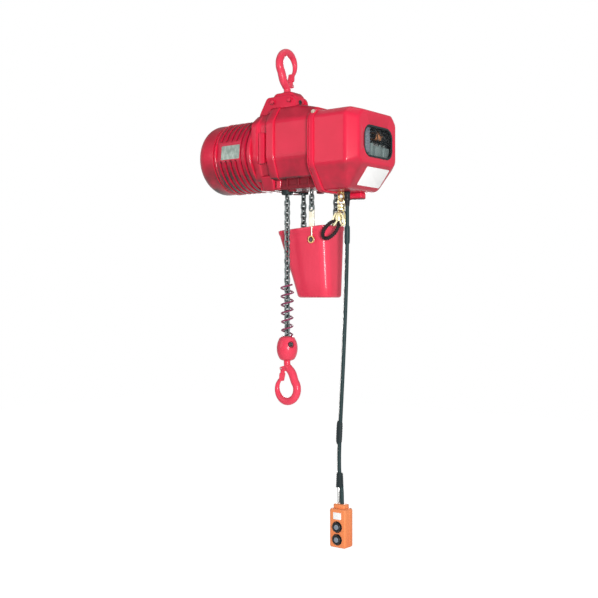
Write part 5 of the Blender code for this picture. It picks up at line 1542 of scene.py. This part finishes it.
LINK_PITCH = 0.0154
LINK_WIRE = 0.0068
LINK_WIDTH = 0.0226
SHEAVE_SLIMMING = 0.27
SLIM_RANGE = (-0.472, -0.432)
LOAD_CHAIN_Z = -0.9221
LOAD_CHAIN_LINKS = 39
SLACK_CHAIN_Z = -0.6024
SLACK_CHAIN_LINKS = 19
HEAP_SEED = 11
HEAP_LINKS = 150
HEAP_LOW = np.array((0.020, 0.066, -0.750))
HEAP_SIZE = np.array((0.082, 0.052, 0.028))
HEAP_RISE = 0.6
BED_LOW = (0.008, 0.055, -0.7660)
BED_HIGH = (0.114, 0.129, -0.738)

# Striker and bush: (radius, height) round each chain
STRIKER_PROFILE = (
    (0.0114, -0.4130),
    (0.0232, -0.4130),
    (0.0232, -0.4190),
    (0.0180, -0.4205),
    (0.0180, -0.4395),
    (0.0168, -0.4414),
    (0.0130, -0.4414),
    (0.0114, -0.4385),
    (0.0114, -0.4130),
)
BUSH_PROFILE = (
    (0.0125, -0.4272),
    (0.0165, -0.4272),
    (0.0165, -0.4318),
    (0.0150, -0.4330),
    (0.0125, -0.4330),
    (0.0125, -0.4272),
)

SPRING_TURNS = 6
SPRING_WIRE = 0.0029
SPRING_RADIUS = 0.0165
SPRING_WIDENING = 0.0030
SPRING_LOW = -0.8907
SPRING_HEIGHT = 0.1620

BLOCK_TOP = span("block_half_right")[1][2]
BLOCK_HEIGHT = BLOCK_TOP - span("block_half_right")[0][2]
BLOCK_RADIUS = span("block_half_right")[1][0]
BLOCK_END_SHARE = 0.58
BLOCK_EDGE = 0.004
BLOCK_EDGE_LENGTH = 0.005
BLOCK_TURN = math.radians(-27)
BLOCK_BOLT_Z = middle_of("block_bolt")[2]
BLOCK_SPLIT = 0.0002
BLOCK_HEAD = dict(radius=0.0082, height=0.0072)
BLOCK_HEAD_X = 0.0212
BLOCK_NUT_RADIUS = 0.0082
BLOCK_NUT = dict(half=0.0022, edge=0.0005)
BLOCK_NUT_X = -0.0258
BOLT_WELL = (0.0096, 0.0110)

# Halves of the block: name, side and how far out the floor of its bolt well lies
BLOCK_HALVES = (("right", 1, 0.0215), ("left", -1, 0.0245))

# Guide ring round the load chain, as (radius, height)
GUIDE_PROFILE = (
    (0.0114, -0.8935),
    (0.0160, -0.8935),
    (0.0160, -0.8922),
    (0.0114, -0.8922),
    (0.0114, -0.8935),
)


def chain_link(around=20, across=8):
    """One link: a round wire carried along two straights joined by half circles, in the XZ plane."""
    bend = (LINK_WIDTH - LINK_WIRE) / 2
    straight = (LINK_PITCH + LINK_WIRE) / 2 - bend
    turn = np.linspace(0, math.pi, around // 2)
    top = np.column_stack((bend * np.cos(turn), 0 * turn, straight + bend * np.sin(turn)))
    path = np.concatenate((top, top * (-1, 1, -1)))
    return tube(path, LINK_WIRE / 2, across, closed=True)


def strand(x, y, low, count, quarter):
    """Places of a strand's links, each a quarter turn from the last and slimmer near the sheave."""
    step = np.arange(count)
    places = np.tile(np.eye(4), (count, 1, 1))
    turn = (quarter + step) % 2
    height = low + (step + 0.5) * LINK_PITCH
    slim = 1 - SHEAVE_SLIMMING * blend_step(height, *SLIM_RANGE)
    places[:, 0, 0] = places[:, 1, 1] = (1 - turn) * slim
    places[:, 0, 1], places[:, 1, 0] = -turn * slim, turn * slim
    places[:, 0, 3] = x
    places[:, 1, 3] = y
    places[:, 2, 3] = height
    return places


def make_strands():
    """Load strand and slack strand, hanging from either side of the sheave."""
    link = chain_link()
    load = repeat(link, strand(0, 0, LOAD_CHAIN_Z, LOAD_CHAIN_LINKS, 1))
    piece("load_links", load, "chain", ["load_chain"], "load")
    slack = repeat(link, strand(0, SLACK_Y, SLACK_CHAIN_Z, SLACK_CHAIN_LINKS, 0))
    piece("slack_links", slack, "chain", ["slack_chain"], "slack")


def make_heap():
    """Links lying loose in the bucket on a bed of buried ones; the power of the height packs them upwards."""
    random = np.random.default_rng(HEAP_SEED)
    share = random.random((HEAP_LINKS, 3))
    share[:, 2] **= HEAP_RISE
    places = np.tile(np.eye(4), (HEAP_LINKS, 1, 1))
    places[:, :3, 3] = HEAP_LOW + share * HEAP_SIZE
    spin = unit(random.normal(size=(HEAP_LINKS, 3)))
    lean = unit(np.cross(spin, random.normal(size=(HEAP_LINKS, 3))))
    places[:, :3, :3] = np.stack((spin, lean, np.cross(spin, lean)), -1)
    heap = merge(repeat(chain_link(12, 6), places), soft_box(BED_LOW, BED_HIGH, edge=0.008))
    piece("chain_pile", heap, "chain", ["chain_heap"])


def make_striker():
    """Rubber cup round the load chain, with a rolled lower lip, and a bush round the slack chain."""
    cup = turned(eased(STRIKER_PROFILE, SMALL_EASE, 3), ORIGIN, "Z", 48)
    piece("striker_cup", cup, "rubber", ["limit_striker"], "striker")
    piece("slack_bush", turned(BUSH_PROFILE, SLACK_Y * Y_DIR, "Z", 40), "rubber")


def make_spring():
    """Coil of round wire that widens upwards: radius and height rise in step with the turn."""
    share = np.linspace(0, 1, SPRING_TURNS * 30 + 1)
    radius = SPRING_RADIUS + SPRING_WIDENING * share
    turn = TAU * SPRING_TURNS * share
    height = SPRING_LOW + SPRING_HEIGHT * share
    path = np.column_stack((radius * np.cos(turn), radius * np.sin(turn), height))
    piece("coil", tube(path, SPRING_WIRE, 12, Z_DIR), "plum", ["limit_spring"], "load")


def make_block():
    """Egg of two halves: radius R sqrt(1 - (1 - e^2) h^2) over height share h, sunk round the bolt's ends."""
    share = np.linspace(0, 1, 86)
    bulge = BLOCK_RADIUS * np.sqrt(1 - (1 - BLOCK_END_SHARE**2) * (2 * share - 1) ** 2)
    from_end = np.minimum(share, 1 - share) * BLOCK_HEIGHT
    bulge = bulge - BLOCK_EDGE * (1 - blend_step(from_end, 0, BLOCK_EDGE_LENGTH)) ** 2
    height = BLOCK_TOP - BLOCK_HEIGHT * share
    turn = np.linspace(-QUARTER_TURN, QUARTER_TURN, 120)
    place = frame_at(ORIGIN, Z_DIR, (math.cos(BLOCK_TURN), math.sin(BLOCK_TURN), 0))
    for name, side, well_floor in BLOCK_HALVES:
        out = bulge[:, None] * np.cos(turn)
        along = bulge[:, None] * np.sin(turn)
        tall = np.broadcast_to(height[:, None], out.shape)
        sunk = 1 - blend_step(np.hypot(along, tall - BLOCK_BOLT_Z), *BOLT_WELL)
        out = np.maximum(out - np.maximum(out - well_floor, 0) * sunk, BLOCK_SPLIT)
        half = repeat(surface(np.stack((side * out, along, tall), -1)), [place])
        piece(f"shell_{name}", half, "bright_red", [f"block_half_{name}"], "load", crease=60)
    head = placed(socket_screw(**BLOCK_HEAD), (BLOCK_HEAD_X, 0, BLOCK_BOLT_Z), X_DIR, Y_DIR)
    nut = slab(circle(6, BLOCK_NUT_RADIUS), **BLOCK_NUT)
    nut = placed(nut, (BLOCK_NUT_X, 0, BLOCK_BOLT_Z), -X_DIR, Y_DIR)
    piece("cross_bolt", repeat(merge(head, nut), [place]), "dark_steel", ["block_bolt"], "load")
    piece("chain_guide", turned(GUIDE_PROFILE, ORIGIN, "Z", 32), "dark_steel", body="load")


make_hook("top", TOP_PLACE, "upper_hook", "top_hook", neck=0.0118)
make_latch("top", TOP_PLACE, "upper_latch", "top_latch")
make_hook("bottom", BOTTOM_PLACE, "lower_hook", "bottom_hook", neck=0.0110)
make_latch("bottom", BOTTOM_PLACE, "lower_latch", "bottom_latch")
make_strands()
make_heap()
make_striker()
make_spring()
make_block()


# Chain bucket and its hangers

# Left, right, front and back of the bucket at its top and at its bottom
BUCKET_MOUTH = np.column_stack(span("chain_bucket"))[:2].ravel()
BUCKET_FLOOR = np.array((-0.005, 0.127, 0.045, 0.140))
BUCKET_TOP = -0.540
BUCKET_BOTTOM = -0.770
BUCKET_DROP = 0.014
BUCKET_DROP_ENDS = (BUCKET_BOTTOM + 0.05, BUCKET_TOP - 0.02)
BUCKET_CORNER = 0.030
BUCKET_WALL = 0.0030
BUCKET_WALL_HEIGHTS = np.linspace(BUCKET_BOTTOM + 0.033, BUCKET_TOP - 0.035, 8)

# Foot and inner floor: height over the bottom, and inset; rim: depth below the top, and inset
BUCKET_FOOT = ((0.0, 0.010), (0.0004, 0.006), (0.0025, 0.0022), (0.0070, 0.0))
BUCKET_INSIDE = ((0.0060, 0.0040), (0.0032, 0.010))
BUCKET_RIM = (
    (0.0165, 0.0),
    (0.0155, -0.0006),
    (0.0140, -0.0016),
    (0.0050, -0.0020),
    (0.0012, -0.0014),
    (0.0, 0.0004),
    (0.0002, 0.0022),
    (0.0025, BUCKET_WALL),
)

HANGER_X, _, HANGER_EYE_Z = middle_of("front_hanger_bolt")
HANGER_BAR_TOP = -0.490
HANGER_BAR_END = -0.545
HANGER_BAR_SIZE = (0.020, HANGER_BAR_TOP - HANGER_BAR_END)
HANGER_BAR = dict(size=HANGER_BAR_SIZE, corner=0.004, half=0.0024, edge=0.0009, steps=4)
HANGER_OVERLAP = 0.006
HANGER_LINK_DROP = 0.003
HANGER_ROD_RADIUS = 0.0026
ROD_INTO_BAR = 0.004
ROD_ABOVE_EYE = 0.009
HANGER_EYE_RADIUS = 0.0092
HANGER_EYE_WIRE = 0.0021
HANGER_SEAT = 0.0023
HANGER_HEAD_EASE = 0.002

# Bolt of a hanger: head, shank and ring as (radius, height over the seat)
HEAD_PROFILE = ((0, 0.0058), (0.0068, 0.0050), (0.0084, 0.0))
SHANK_PROFILE = ((0.0048, 0.002), (0.0048, -0.015), (0, -0.015))
HANGER_COLLAR = ((0.0082, 0.0004), (0.0082, 0.0024), (0.0120, 0.0024), (0.0120, 0.0004), (0.0082, 0.0004))


def bucket_ring(z, inset):
    """Rounded section of the tapering bucket at a height; its left side hangs lower towards the mouth."""
    share = (BUCKET_TOP - z) / (BUCKET_TOP - BUCKET_BOTTOM)
    left, right, front, back = BUCKET_MOUTH + (BUCKET_FLOOR - BUCKET_MOUTH) * share
    size = (right - left - 2 * inset, back - front - 2 * inset)
    outline = rounded_rectangle(*size, BUCKET_CORNER - inset, 10) + ((left + right) / 2, (front + back) / 2)
    leftness = np.clip((right - outline[:, 0]) / (right - left), 0, 1)
    drop = BUCKET_DROP * leftness * blend_step(z, *BUCKET_DROP_ENDS)
    return np.column_stack((outline, z - drop))


def make_bucket():
    """Bucket: outer wall up from a rounded foot, a rolled rim, then the inner wall down to the floor."""
    steps = [(BUCKET_BOTTOM + rise, inset) for rise, inset in BUCKET_FOOT]
    steps += [(z, 0.0) for z in BUCKET_WALL_HEIGHTS]
    steps += [(BUCKET_TOP - depth, inset) for depth, inset in BUCKET_RIM]
    steps += [(z, BUCKET_WALL) for z in BUCKET_WALL_HEIGHTS[::-1]]
    steps += [(BUCKET_BOTTOM + rise, inset) for rise, inset in BUCKET_INSIDE]
    rows = np.stack([bucket_ring(z, inset) for z, inset in steps])
    piece("bucket", surface(rows), "bright_red", ["chain_bucket"], crease=50)


def make_hanger(name, top, side):
    """Short run of chain, flat bar, thin rod and eye; the bolt has a ring and a dark domed head."""
    x, y, eye = HANGER_X, middle_of(name)[1], HANGER_EYE_Z
    count = round((top - HANGER_BAR_TOP + HANGER_OVERLAP) / LINK_PITCH)
    low = top - count * LINK_PITCH - HANGER_LINK_DROP
    links = repeat(chain_link(), strand(x, y, low, count, 0))
    piece(f"{name}_links", links, "chain")
    bar = plate(**HANGER_BAR)
    bar = placed(bar, (x, y, (HANGER_BAR_TOP + HANGER_BAR_END) / 2), FRONT)
    rod_ends = (x, y, HANGER_BAR_END + ROD_INTO_BAR), (x, y, eye + ROD_ABOVE_EYE)
    rod = tube(np.linspace(*rod_ends, 6), HANGER_ROD_RADIUS, 14)
    ring = oval((x, y, eye), X_DIR, Z_DIR, HANGER_EYE_RADIUS, HANGER_EYE_RADIUS, 32)
    eyelet = tube(ring, HANGER_EYE_WIRE, 10, closed=True)
    piece(f"{name}_strap", merge(bar, rod, eyelet), "zinc", [name])
    seat = ((x, y + side * HANGER_SEAT, eye), side * Y_DIR)
    head = turned(eased(HEAD_PROFILE, HANGER_HEAD_EASE, 5), ORIGIN, "Z", 24)
    shank = turned(SHANK_PROFILE, ORIGIN, "Z", 16)
    piece(f"{name}_bolt_head", placed(merge(head, shank), *seat), "dark_steel", [f"{name}_bolt"])
    collar = turned(eased(HANGER_COLLAR, FINE_EASE, 3), ORIGIN, "Z", 36)
    piece(f"{name}_collar", placed(collar, *seat), "brass")


make_bucket()
make_hanger("front_hanger", top=-0.4283, side=-1)
make_hanger("rear_hanger", top=-0.4020, side=1)


# Cable gland and cable support

GLAND_X = middle_of("cable_gland")[0]
GLAND_END_Z = span("cable_gland")[0][2]
GLAND_NUT_Z = -0.4455
GLAND_NUT_RADIUS = 0.0108
GLAND_NUT = dict(half=0.0050, edge=0.0010)
GLAND_LIP = (0.0070, 0.0060)

# Cap nut of the gland as (radius, height), then its ribs: first rib, step to the next and depth of a groove
GLAND_CAP = ((0.0088, -0.4500), (0.0088, -0.4600), (0.0094, -0.4610), (0.0094, -0.4670), (0.0084, -0.4690))
GLAND_RIBS = 4
GLAND_RIB = np.array((0.0082, -0.4704))
GLAND_RIB_STEP = np.array((-0.0002, -0.0036))
GLAND_GROOVE = np.array((-0.0009, -0.0018))

SUPPORT_SHIFT = 0.005
SUPPORT = np.array((middle_of("cable_shackle")[0] + SUPPORT_SHIFT, AXIS_Y, 0))
SHACKLE_Z = -0.4555
SHACKLE_RADIUS = 0.0130
SHACKLE_WIRE = 0.0032
SHACKLE_LUG = ((-0.009, -0.009, -0.4445), (0.009, 0.009, -0.4385))
EYE_Z = -0.4710
EYE_HALF = (0.0115, 0.0100)
EYE_WIRE = 0.0030
SNAP_Z = -0.5205
SNAP_HALF = (0.0160, 0.0240)
SNAP_WIRE = 0.0036
GATE_RADIUS = 0.0046
GATE_Z = (-0.533, -0.508)
PIN_Z = -0.5035
PIN_HALF = 0.0200
PIN_RADIUS = 0.0026
THIMBLE_PLACE = (0.0120, -0.0140, -0.5250)
THIMBLE_SPLAY = 0.42
THIMBLE_HALF = (0.0078, 0.0205)
THIMBLE_WIRE = 0.0033
FERRULE_EASE = 0.0006

# Swivel and ferrule as (radius, height)
SWIVEL_PROFILE = (
    (0, -0.4770),
    (0.0100, -0.4770),
    (0.0132, -0.4800),
    (0.0132, -0.4870),
    (0.0100, -0.4885),
    (0.0122, -0.4900),
    (0.0122, -0.4970),
    (0.0080, -0.4990),
    (0, -0.4990),
)
FERRULE_PROFILE = (
    (0.0050, -0.5040),
    (0.0086, -0.5060),
    (0.0110, -0.5200),
    (0.0112, -0.5300),
    (0.0092, -0.5300),
    (0.0060, -0.5080),
    (0.0050, -0.5040),
)


def make_gland():
    """Gland: hex nut under the cover, slim cap nut, then a ribbed boot."""
    nut = slab(circle(6, GLAND_NUT_RADIUS), **GLAND_NUT)
    nut = placed(nut, (GLAND_X, AXIS_Y, GLAND_NUT_Z), Z_DIR)
    ribs = GLAND_RIB + np.arange(GLAND_RIBS)[:, None] * GLAND_RIB_STEP
    ridges = np.stack((ribs, ribs + GLAND_GROOVE), 1).reshape(-1, 2)
    profile = [*GLAND_CAP, *ridges, *((radius, GLAND_END_Z) for radius in GLAND_LIP)]
    boot = turned(eased(profile, FINE_EASE, 3), (GLAND_X, AXIS_Y, 0), "Z", 40)
    piece("gland", merge(nut, boot), "black", ["cable_gland"])


def make_cable_support():
    """Shackle ring, swivel with its eye, snap hook with a gate and a pin."""
    loop = oval(SUPPORT + SHACKLE_Z * Z_DIR, Y_DIR, Z_DIR, SHACKLE_RADIUS, SHACKLE_RADIUS)
    ring = tube(loop, SHACKLE_WIRE, 12, X_DIR, closed=True)
    lug = soft_box(SUPPORT + SHACKLE_LUG[0], SUPPORT + SHACKLE_LUG[1], edge=0.002)
    piece("shackle_ring", merge(ring, lug), "brass", ["cable_shackle"])
    eye = tube(oval(SUPPORT + EYE_Z * Z_DIR, X_DIR, Z_DIR, *EYE_HALF), EYE_WIRE, 10, closed=True)
    swivel = turned(eased(SWIVEL_PROFILE, SMALL_EASE, 3), SUPPORT, "Z", 32)
    hook = tube(oval(SUPPORT + SNAP_Z * Z_DIR, X_DIR, Z_DIR, *SNAP_HALF), SNAP_WIRE, 12, closed=True)
    gate_ends = [SUPPORT + (-SNAP_HALF[0], 0, z) for z in GATE_Z]
    gate = tube(np.linspace(*gate_ends, 5), GATE_RADIUS, 12)
    piece("swivel_hook", merge(eye, swivel, hook, gate), "gold", ["snap_hook"])
    pin_ends = [SUPPORT + (x, 0, PIN_Z) for x in (-PIN_HALF, PIN_HALF)]
    piece("swivel_pin", tube(np.linspace(*pin_ends, 5), PIN_RADIUS, 10, Z_DIR), "dark_steel")


def make_thimbles():
    """Two splayed oval loops in front of the snap hook, under a bell-shaped ferrule."""
    away, forward, height = THIMBLE_PLACE
    shapes = []
    for side in (-1, 1):
        down = unit(np.array((side * THIMBLE_SPLAY, 0, -1)))
        across = np.array((-down[2], 0, down[0]))
        loop = oval(SUPPORT + (side * away, forward, height), across, down, *THIMBLE_HALF, 40)
        shapes.append(tube(loop, THIMBLE_WIRE, 10, closed=True))
    shapes.append(turned(eased(FERRULE_PROFILE, FERRULE_EASE, 3), SUPPORT + forward * Y_DIR, "Z", 28))
    piece("thimbles", merge(*shapes), "gold")


# Cable and strain wire

CABLE_RADIUS = 0.0058
BOOT_X = 0.1745
TAIL_X = 0.1714
SLEEVE_Z = (-0.547, -0.603)
SLEEVE_RADIUS = 0.0084
SLEEVE_DRAW = 0.18
WIRE_RADIUS = 0.0015
WIRE_Z = (-0.5503, -1.4127)
WIRE_SAMPLES = 70
WIRE_BESIDE = 0.0074
WIRE_PAST_SLEEVE = 0.0028
WIRE_SLEEVE_RANGE = (0.604, 0.660)
WIRE_TAIL_RANGE = (1.300, 1.375)

# Hanging route of the cable, as x and z from the gland to the boot
CABLE_ROUTE = (
    (GLAND_X, -0.480),
    (GLAND_X, -0.515),
    (GLAND_X, -0.550),
    (0.2020, -0.640),
    (0.1983, -0.760),
    (0.1930, -0.880),
    (0.1868, -1.000),
    (0.1797, -1.120),
    (0.1738, -1.230),
    (0.1728, -1.290),
    (BOOT_X, -1.330),
)
CABLE_PATH = through([(x, AXIS_Y, z) for x, z in CABLE_ROUTE], 6)


def in_plane(x, z):
    """Points at x and z in the cable's plane."""
    return np.column_stack((x, np.full(len(z), AXIS_Y), z))


def cable_x(z):
    """Where the cable is in X at a height."""
    return np.interp(-z, -CABLE_PATH[:, 2], CABLE_PATH[:, 0])


def make_cable():
    """Cable from the gland to the boot along its hanging route, and the sleeve round its upper bend."""
    path = CABLE_PATH
    run = tube(path, CABLE_RADIUS, 18)
    cable = piece("control_cable", run, "cable", ["cable_upper", "pendant_cable"], body=None)
    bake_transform(cable)
    z = np.linspace(*SLEEVE_Z, 25)
    drawn = 1 - SLEEVE_DRAW * np.abs(np.linspace(-1, 1, len(z))) ** 8
    shape = swept(in_plane(cable_x(z), z), circle(20, SLEEVE_RADIUS), Y_DIR, drawn)
    sleeve = piece("cable_sleeve", shape, "cable", body=None)
    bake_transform(sleeve)


def make_strain_wire():
    """Thin wire from the snap hook: past the cable's sleeve, beside the cable, then to the pendant's tail."""
    z = np.linspace(*WIRE_Z, WIRE_SAMPLES)
    beside = cable_x(z) - WIRE_BESIDE - WIRE_PAST_SLEEVE * (1 - blend_step(-z, *WIRE_SLEEVE_RANGE))
    below = blend_step(-z, *WIRE_TAIL_RANGE)
    path = in_plane(beside * (1 - below) + TAIL_X * below, z)
    wire = piece("support_wire", tube(path, WIRE_RADIUS, 10), "steel", ["strain_wire"], "pendant")


make_gland()
make_cable_support()
make_thimbles()
make_cable()
make_strain_wire()


# Carrying ring, cable tie and boot

RING_TOP = np.array((0.171, 0.0347, -0.533))
RING_LOW = np.array((0.138, 0.010, -0.583))
RING_FACING = (0.616, -0.788, 0)
RING_HALF_WIDTH = 0.0165
RING_CORD = 0.0054
RING_LOBE = 0.15
RING_LOBES = 3
RING_TWISTS = 9
RING_STEPS = 160

TIE_TOP = -1.155
TIE_LENGTH = 0.073
TIE_SHIFT = 0.0028
TIE_HALF = (0.0104, 0.0074)
TIE_DRAW = 0.30
TIE_RIDGE = 0.035
TIE_TURNS = 9

BOOT_TOP = span("pendant_boot")[1][2]
BOOT_LENGTH = 0.044
BOOT_BORE = 0.0059
BOOT_RADIUS = 0.0100
BOOT_WIDENING = 0.0018
BOOT_RIDGE = 0.0007
BOOT_RIBS = 7
CRIMP_FORWARD = 0.001
CRIMP_PROFILE = ((0, -1.358), (0.0045, -1.358), (0.0045, -1.411), (0, -1.411))
BARE_CABLE_ROUTE = ((0.1800, AXIS_Y, -1.355), (0.1826, AXIS_Y, -1.380), (0.1832, AXIS_Y, -1.416))
BARE_CABLE_RADIUS = 0.0062


def make_ring():
    """Rubber ring wound with cord: a closed oval whose three-lobed section turns as it goes round."""
    along = (RING_LOW - RING_TOP) / 2
    across = unit(np.cross(along, RING_FACING))
    size = (RING_HALF_WIDTH, np.linalg.norm(along))
    path = oval((RING_TOP + RING_LOW) / 2, across, unit(along), *size, RING_STEPS)
    turn = TAU * np.arange(18) / 18
    twist = TAU * RING_TWISTS * np.arange(RING_STEPS)[:, None] / RING_STEPS
    reach = RING_CORD * (1 + RING_LOBE * np.cos(RING_LOBES * (turn - twist)))
    section = np.stack((reach * np.cos(turn), reach * np.sin(turn)), -1)
    piece("carry_ring", swept(path, section, RING_FACING, closed=True), "cord", ["safety_loop"])


def make_tie():
    """Tape wound round cable and wire: an oval sleeve with shallow turns and drawn-in ends."""
    share = np.linspace(0, 1, 49)
    z = TIE_TOP - TIE_LENGTH * share
    swell = 1 - TIE_DRAW * np.abs(2 * share - 1) ** 6 + TIE_RIDGE * np.cos(TAU * TIE_TURNS * share)
    shape = swept(in_plane(cable_x(z) - TIE_SHIFT, z), circle(28) * TIE_HALF, Y_DIR, swell)
    piece("cable_tie", shape, "rubber", body="pendant")


def make_boot():
    """Ribbed sleeve on the cable's end, with the bare cable and the wire's crimped tail under it."""
    share = np.linspace(0, 1, 61)
    radius = BOOT_RADIUS + BOOT_WIDENING * share + BOOT_RIDGE * np.cos(TAU * BOOT_RIBS * share)
    wall = np.column_stack((radius, BOOT_TOP - BOOT_LENGTH * share))
    profile = np.concatenate(([(BOOT_BORE, BOOT_TOP)], wall, [(0.0, BOOT_TOP - BOOT_LENGTH)]))
    sleeve = turned(profile, (BOOT_X, AXIS_Y, 0), "Z", 36)
    piece("boot_sleeve", sleeve, "rubber", ["pendant_boot"], "pendant")
    piece("boot_cable", tube(through(BARE_CABLE_ROUTE, 6), BARE_CABLE_RADIUS, 20), "cable", body="pendant")
    crimp = turned(eased(CRIMP_PROFILE, SMALL_EASE, 3), (TAIL_X, AXIS_Y - CRIMP_FORWARD, 0), "Z", 20)
    piece("wire_tail", crimp, "steel", body="pendant")


# Pendant

PENDANT_LOW, PENDANT_HIGH = span("pendant_front")
PENDANT_X, _, PENDANT_Z = middle_of("pendant_front")
PENDANT_SIZE = (PENDANT_HIGH - PENDANT_LOW)[[0, 2]]
PENDANT_FRONT = PENDANT_LOW[1]
PENDANT_BACK = span("pendant_back")[1][1]
PENDANT_SPLIT = (PENDANT_HIGH[1] + span("pendant_back")[0][1]) / 2
PENDANT_CORNER = 0.0065
PENDANT_EDGE = 0.0050
PENDANT_GROOVE = 0.0002
SPLIT_BEVEL = 0.0006
PENDANT_COLLAR_HALF = (0.021, 0.014)
PENDANT_COLLAR_Z = (-1.4290, -1.4135)
PENDANT_SCREW_HALF_SPAN = 0.023
PENDANT_SCREW_Z = (-1.434, -1.541)
PENDANT_SCREW_SINK = 0.0004
PENDANT_SCREW = dict(radius=0.0032, height=0.0012)
PENDANT_LABEL = dict(size=(0.030, 0.021), corner=0.002, half=0.0004, edge=0.0002, steps=4)
PENDANT_LABEL_LIFT = 0.0002
PENDANT_LABEL_Z = -1.4490
BUTTON_Z = {name: middle_of(f"{name}_button")[2] for name in ("up", "down")}

# Bezel, plunger and cap as (radius, depth behind the front)
BEZEL_PROFILE = (
    (0.0157, 0.0010),
    (0.0157, -0.0016),
    (0.0164, -0.0022),
    (0.0176, -0.0018),
    (0.0182, 0.0010),
    (0.0157, 0.0010),
)
PLUNGER_PROFILE = (
    (0, 0.0058),
    (0.0150, 0.0058),
    (0.0150, -0.0060),
    (0.0132, -0.0076),
    (0.0098, -0.0076),
    (0.0090, -0.0056),
    (0, -0.0056),
)
BUTTON_CAP_EASE = 0.0014
BUTTON_CAP_PROFILE = ((0.0084, -0.0050), (0.0084, -0.0068), (0.0060, -0.0078), (0, -0.0082))


def moulded(outline, near, far, edge, steps=6):
    """Moulding over an outline in X and Z, along Y: a rounded outer face at near, a square edge at far."""
    turn = np.linspace(QUARTER_TURN, 0, steps)
    deep = abs(far - near)
    inset = np.append(edge * (1 - np.cos(turn)), (0, SPLIT_BEVEL))
    depth = np.append(edge * (1 - np.sin(turn)), (deep - SPLIT_BEVEL, deep))
    middle = (outline.max(0) + outline.min(0)) / 2
    half = (outline.max(0) - outline.min(0)) / 2
    rows = middle + (outline - middle)[None] * (1 - inset[:, None, None] / half)
    y = np.broadcast_to((near + math.copysign(1, far - near) * depth)[:, None], rows.shape[:2])
    return surface(np.stack((rows[..., 0], y, rows[..., 1]), -1))


def make_housing():
    """Two mouldings with a fine groove between, a collar on top, screws behind and a bare label in front."""
    outline = rounded_rectangle(*PENDANT_SIZE, PENDANT_CORNER, 7) + (PENDANT_X, PENDANT_Z)
    front = moulded(outline, PENDANT_FRONT, PENDANT_SPLIT - PENDANT_GROOVE, PENDANT_EDGE)
    low = (PENDANT_X - PENDANT_COLLAR_HALF[0], AXIS_Y - PENDANT_COLLAR_HALF[1], PENDANT_COLLAR_Z[0])
    high = (PENDANT_X + PENDANT_COLLAR_HALF[0], AXIS_Y + PENDANT_COLLAR_HALF[1], PENDANT_COLLAR_Z[1])
    front = merge(front, soft_box(low, high, edge=0.004))
    piece("housing_front", front, "orange", ["pendant_front"], "pendant", crease=40)
    back = moulded(outline, PENDANT_BACK, PENDANT_SPLIT + PENDANT_GROOVE, PENDANT_EDGE)
    piece("housing_back", back, "orange", ["pendant_back"], "pendant", crease=40)
    columns = (PENDANT_X - PENDANT_SCREW_HALF_SPAN, PENDANT_X + PENDANT_SCREW_HALF_SPAN)
    spots = [(x, PENDANT_BACK - PENDANT_SCREW_SINK, z) for x in columns for z in PENDANT_SCREW_Z]
    screws = [placed(socket_screw(**PENDANT_SCREW), spot, Y_DIR) for spot in spots]
    piece("housing_screws", merge(*screws), "steel", body="pendant")
    label_place = (PENDANT_X, PENDANT_FRONT - PENDANT_LABEL_LIFT, PENDANT_LABEL_Z)
    label = placed(plate(**PENDANT_LABEL), label_place, FRONT)
    piece("pendant_label", label, "label", body="pendant")


def make_buttons():
    """Bezels on the front, and in each a domed cap in a rimmed plunger."""
    places = {name: (PENDANT_X, PENDANT_FRONT, z) for name, z in BUTTON_Z.items()}
    bezels = [turned(BEZEL_PROFILE, where, "Y", 48) for where in places.values()]
    piece("bezels", merge(*bezels), "black", body="pendant")
    for name, where in places.items():
        plunger = turned(eased(PLUNGER_PROFILE, SMALL_EASE, 4), where, "Y", 48)
        piece(f"{name}_plunger", plunger, "black", [f"{name}_button"], f"{name}_push")
        cap = turned(eased(BUTTON_CAP_PROFILE, BUTTON_CAP_EASE, 4), where, "Y", 40)
        piece(f"{name}_cap", cap, "slate_cap", body=f"{name}_push")


make_ring()
make_tie()
make_housing()
make_buttons()
make_boot()
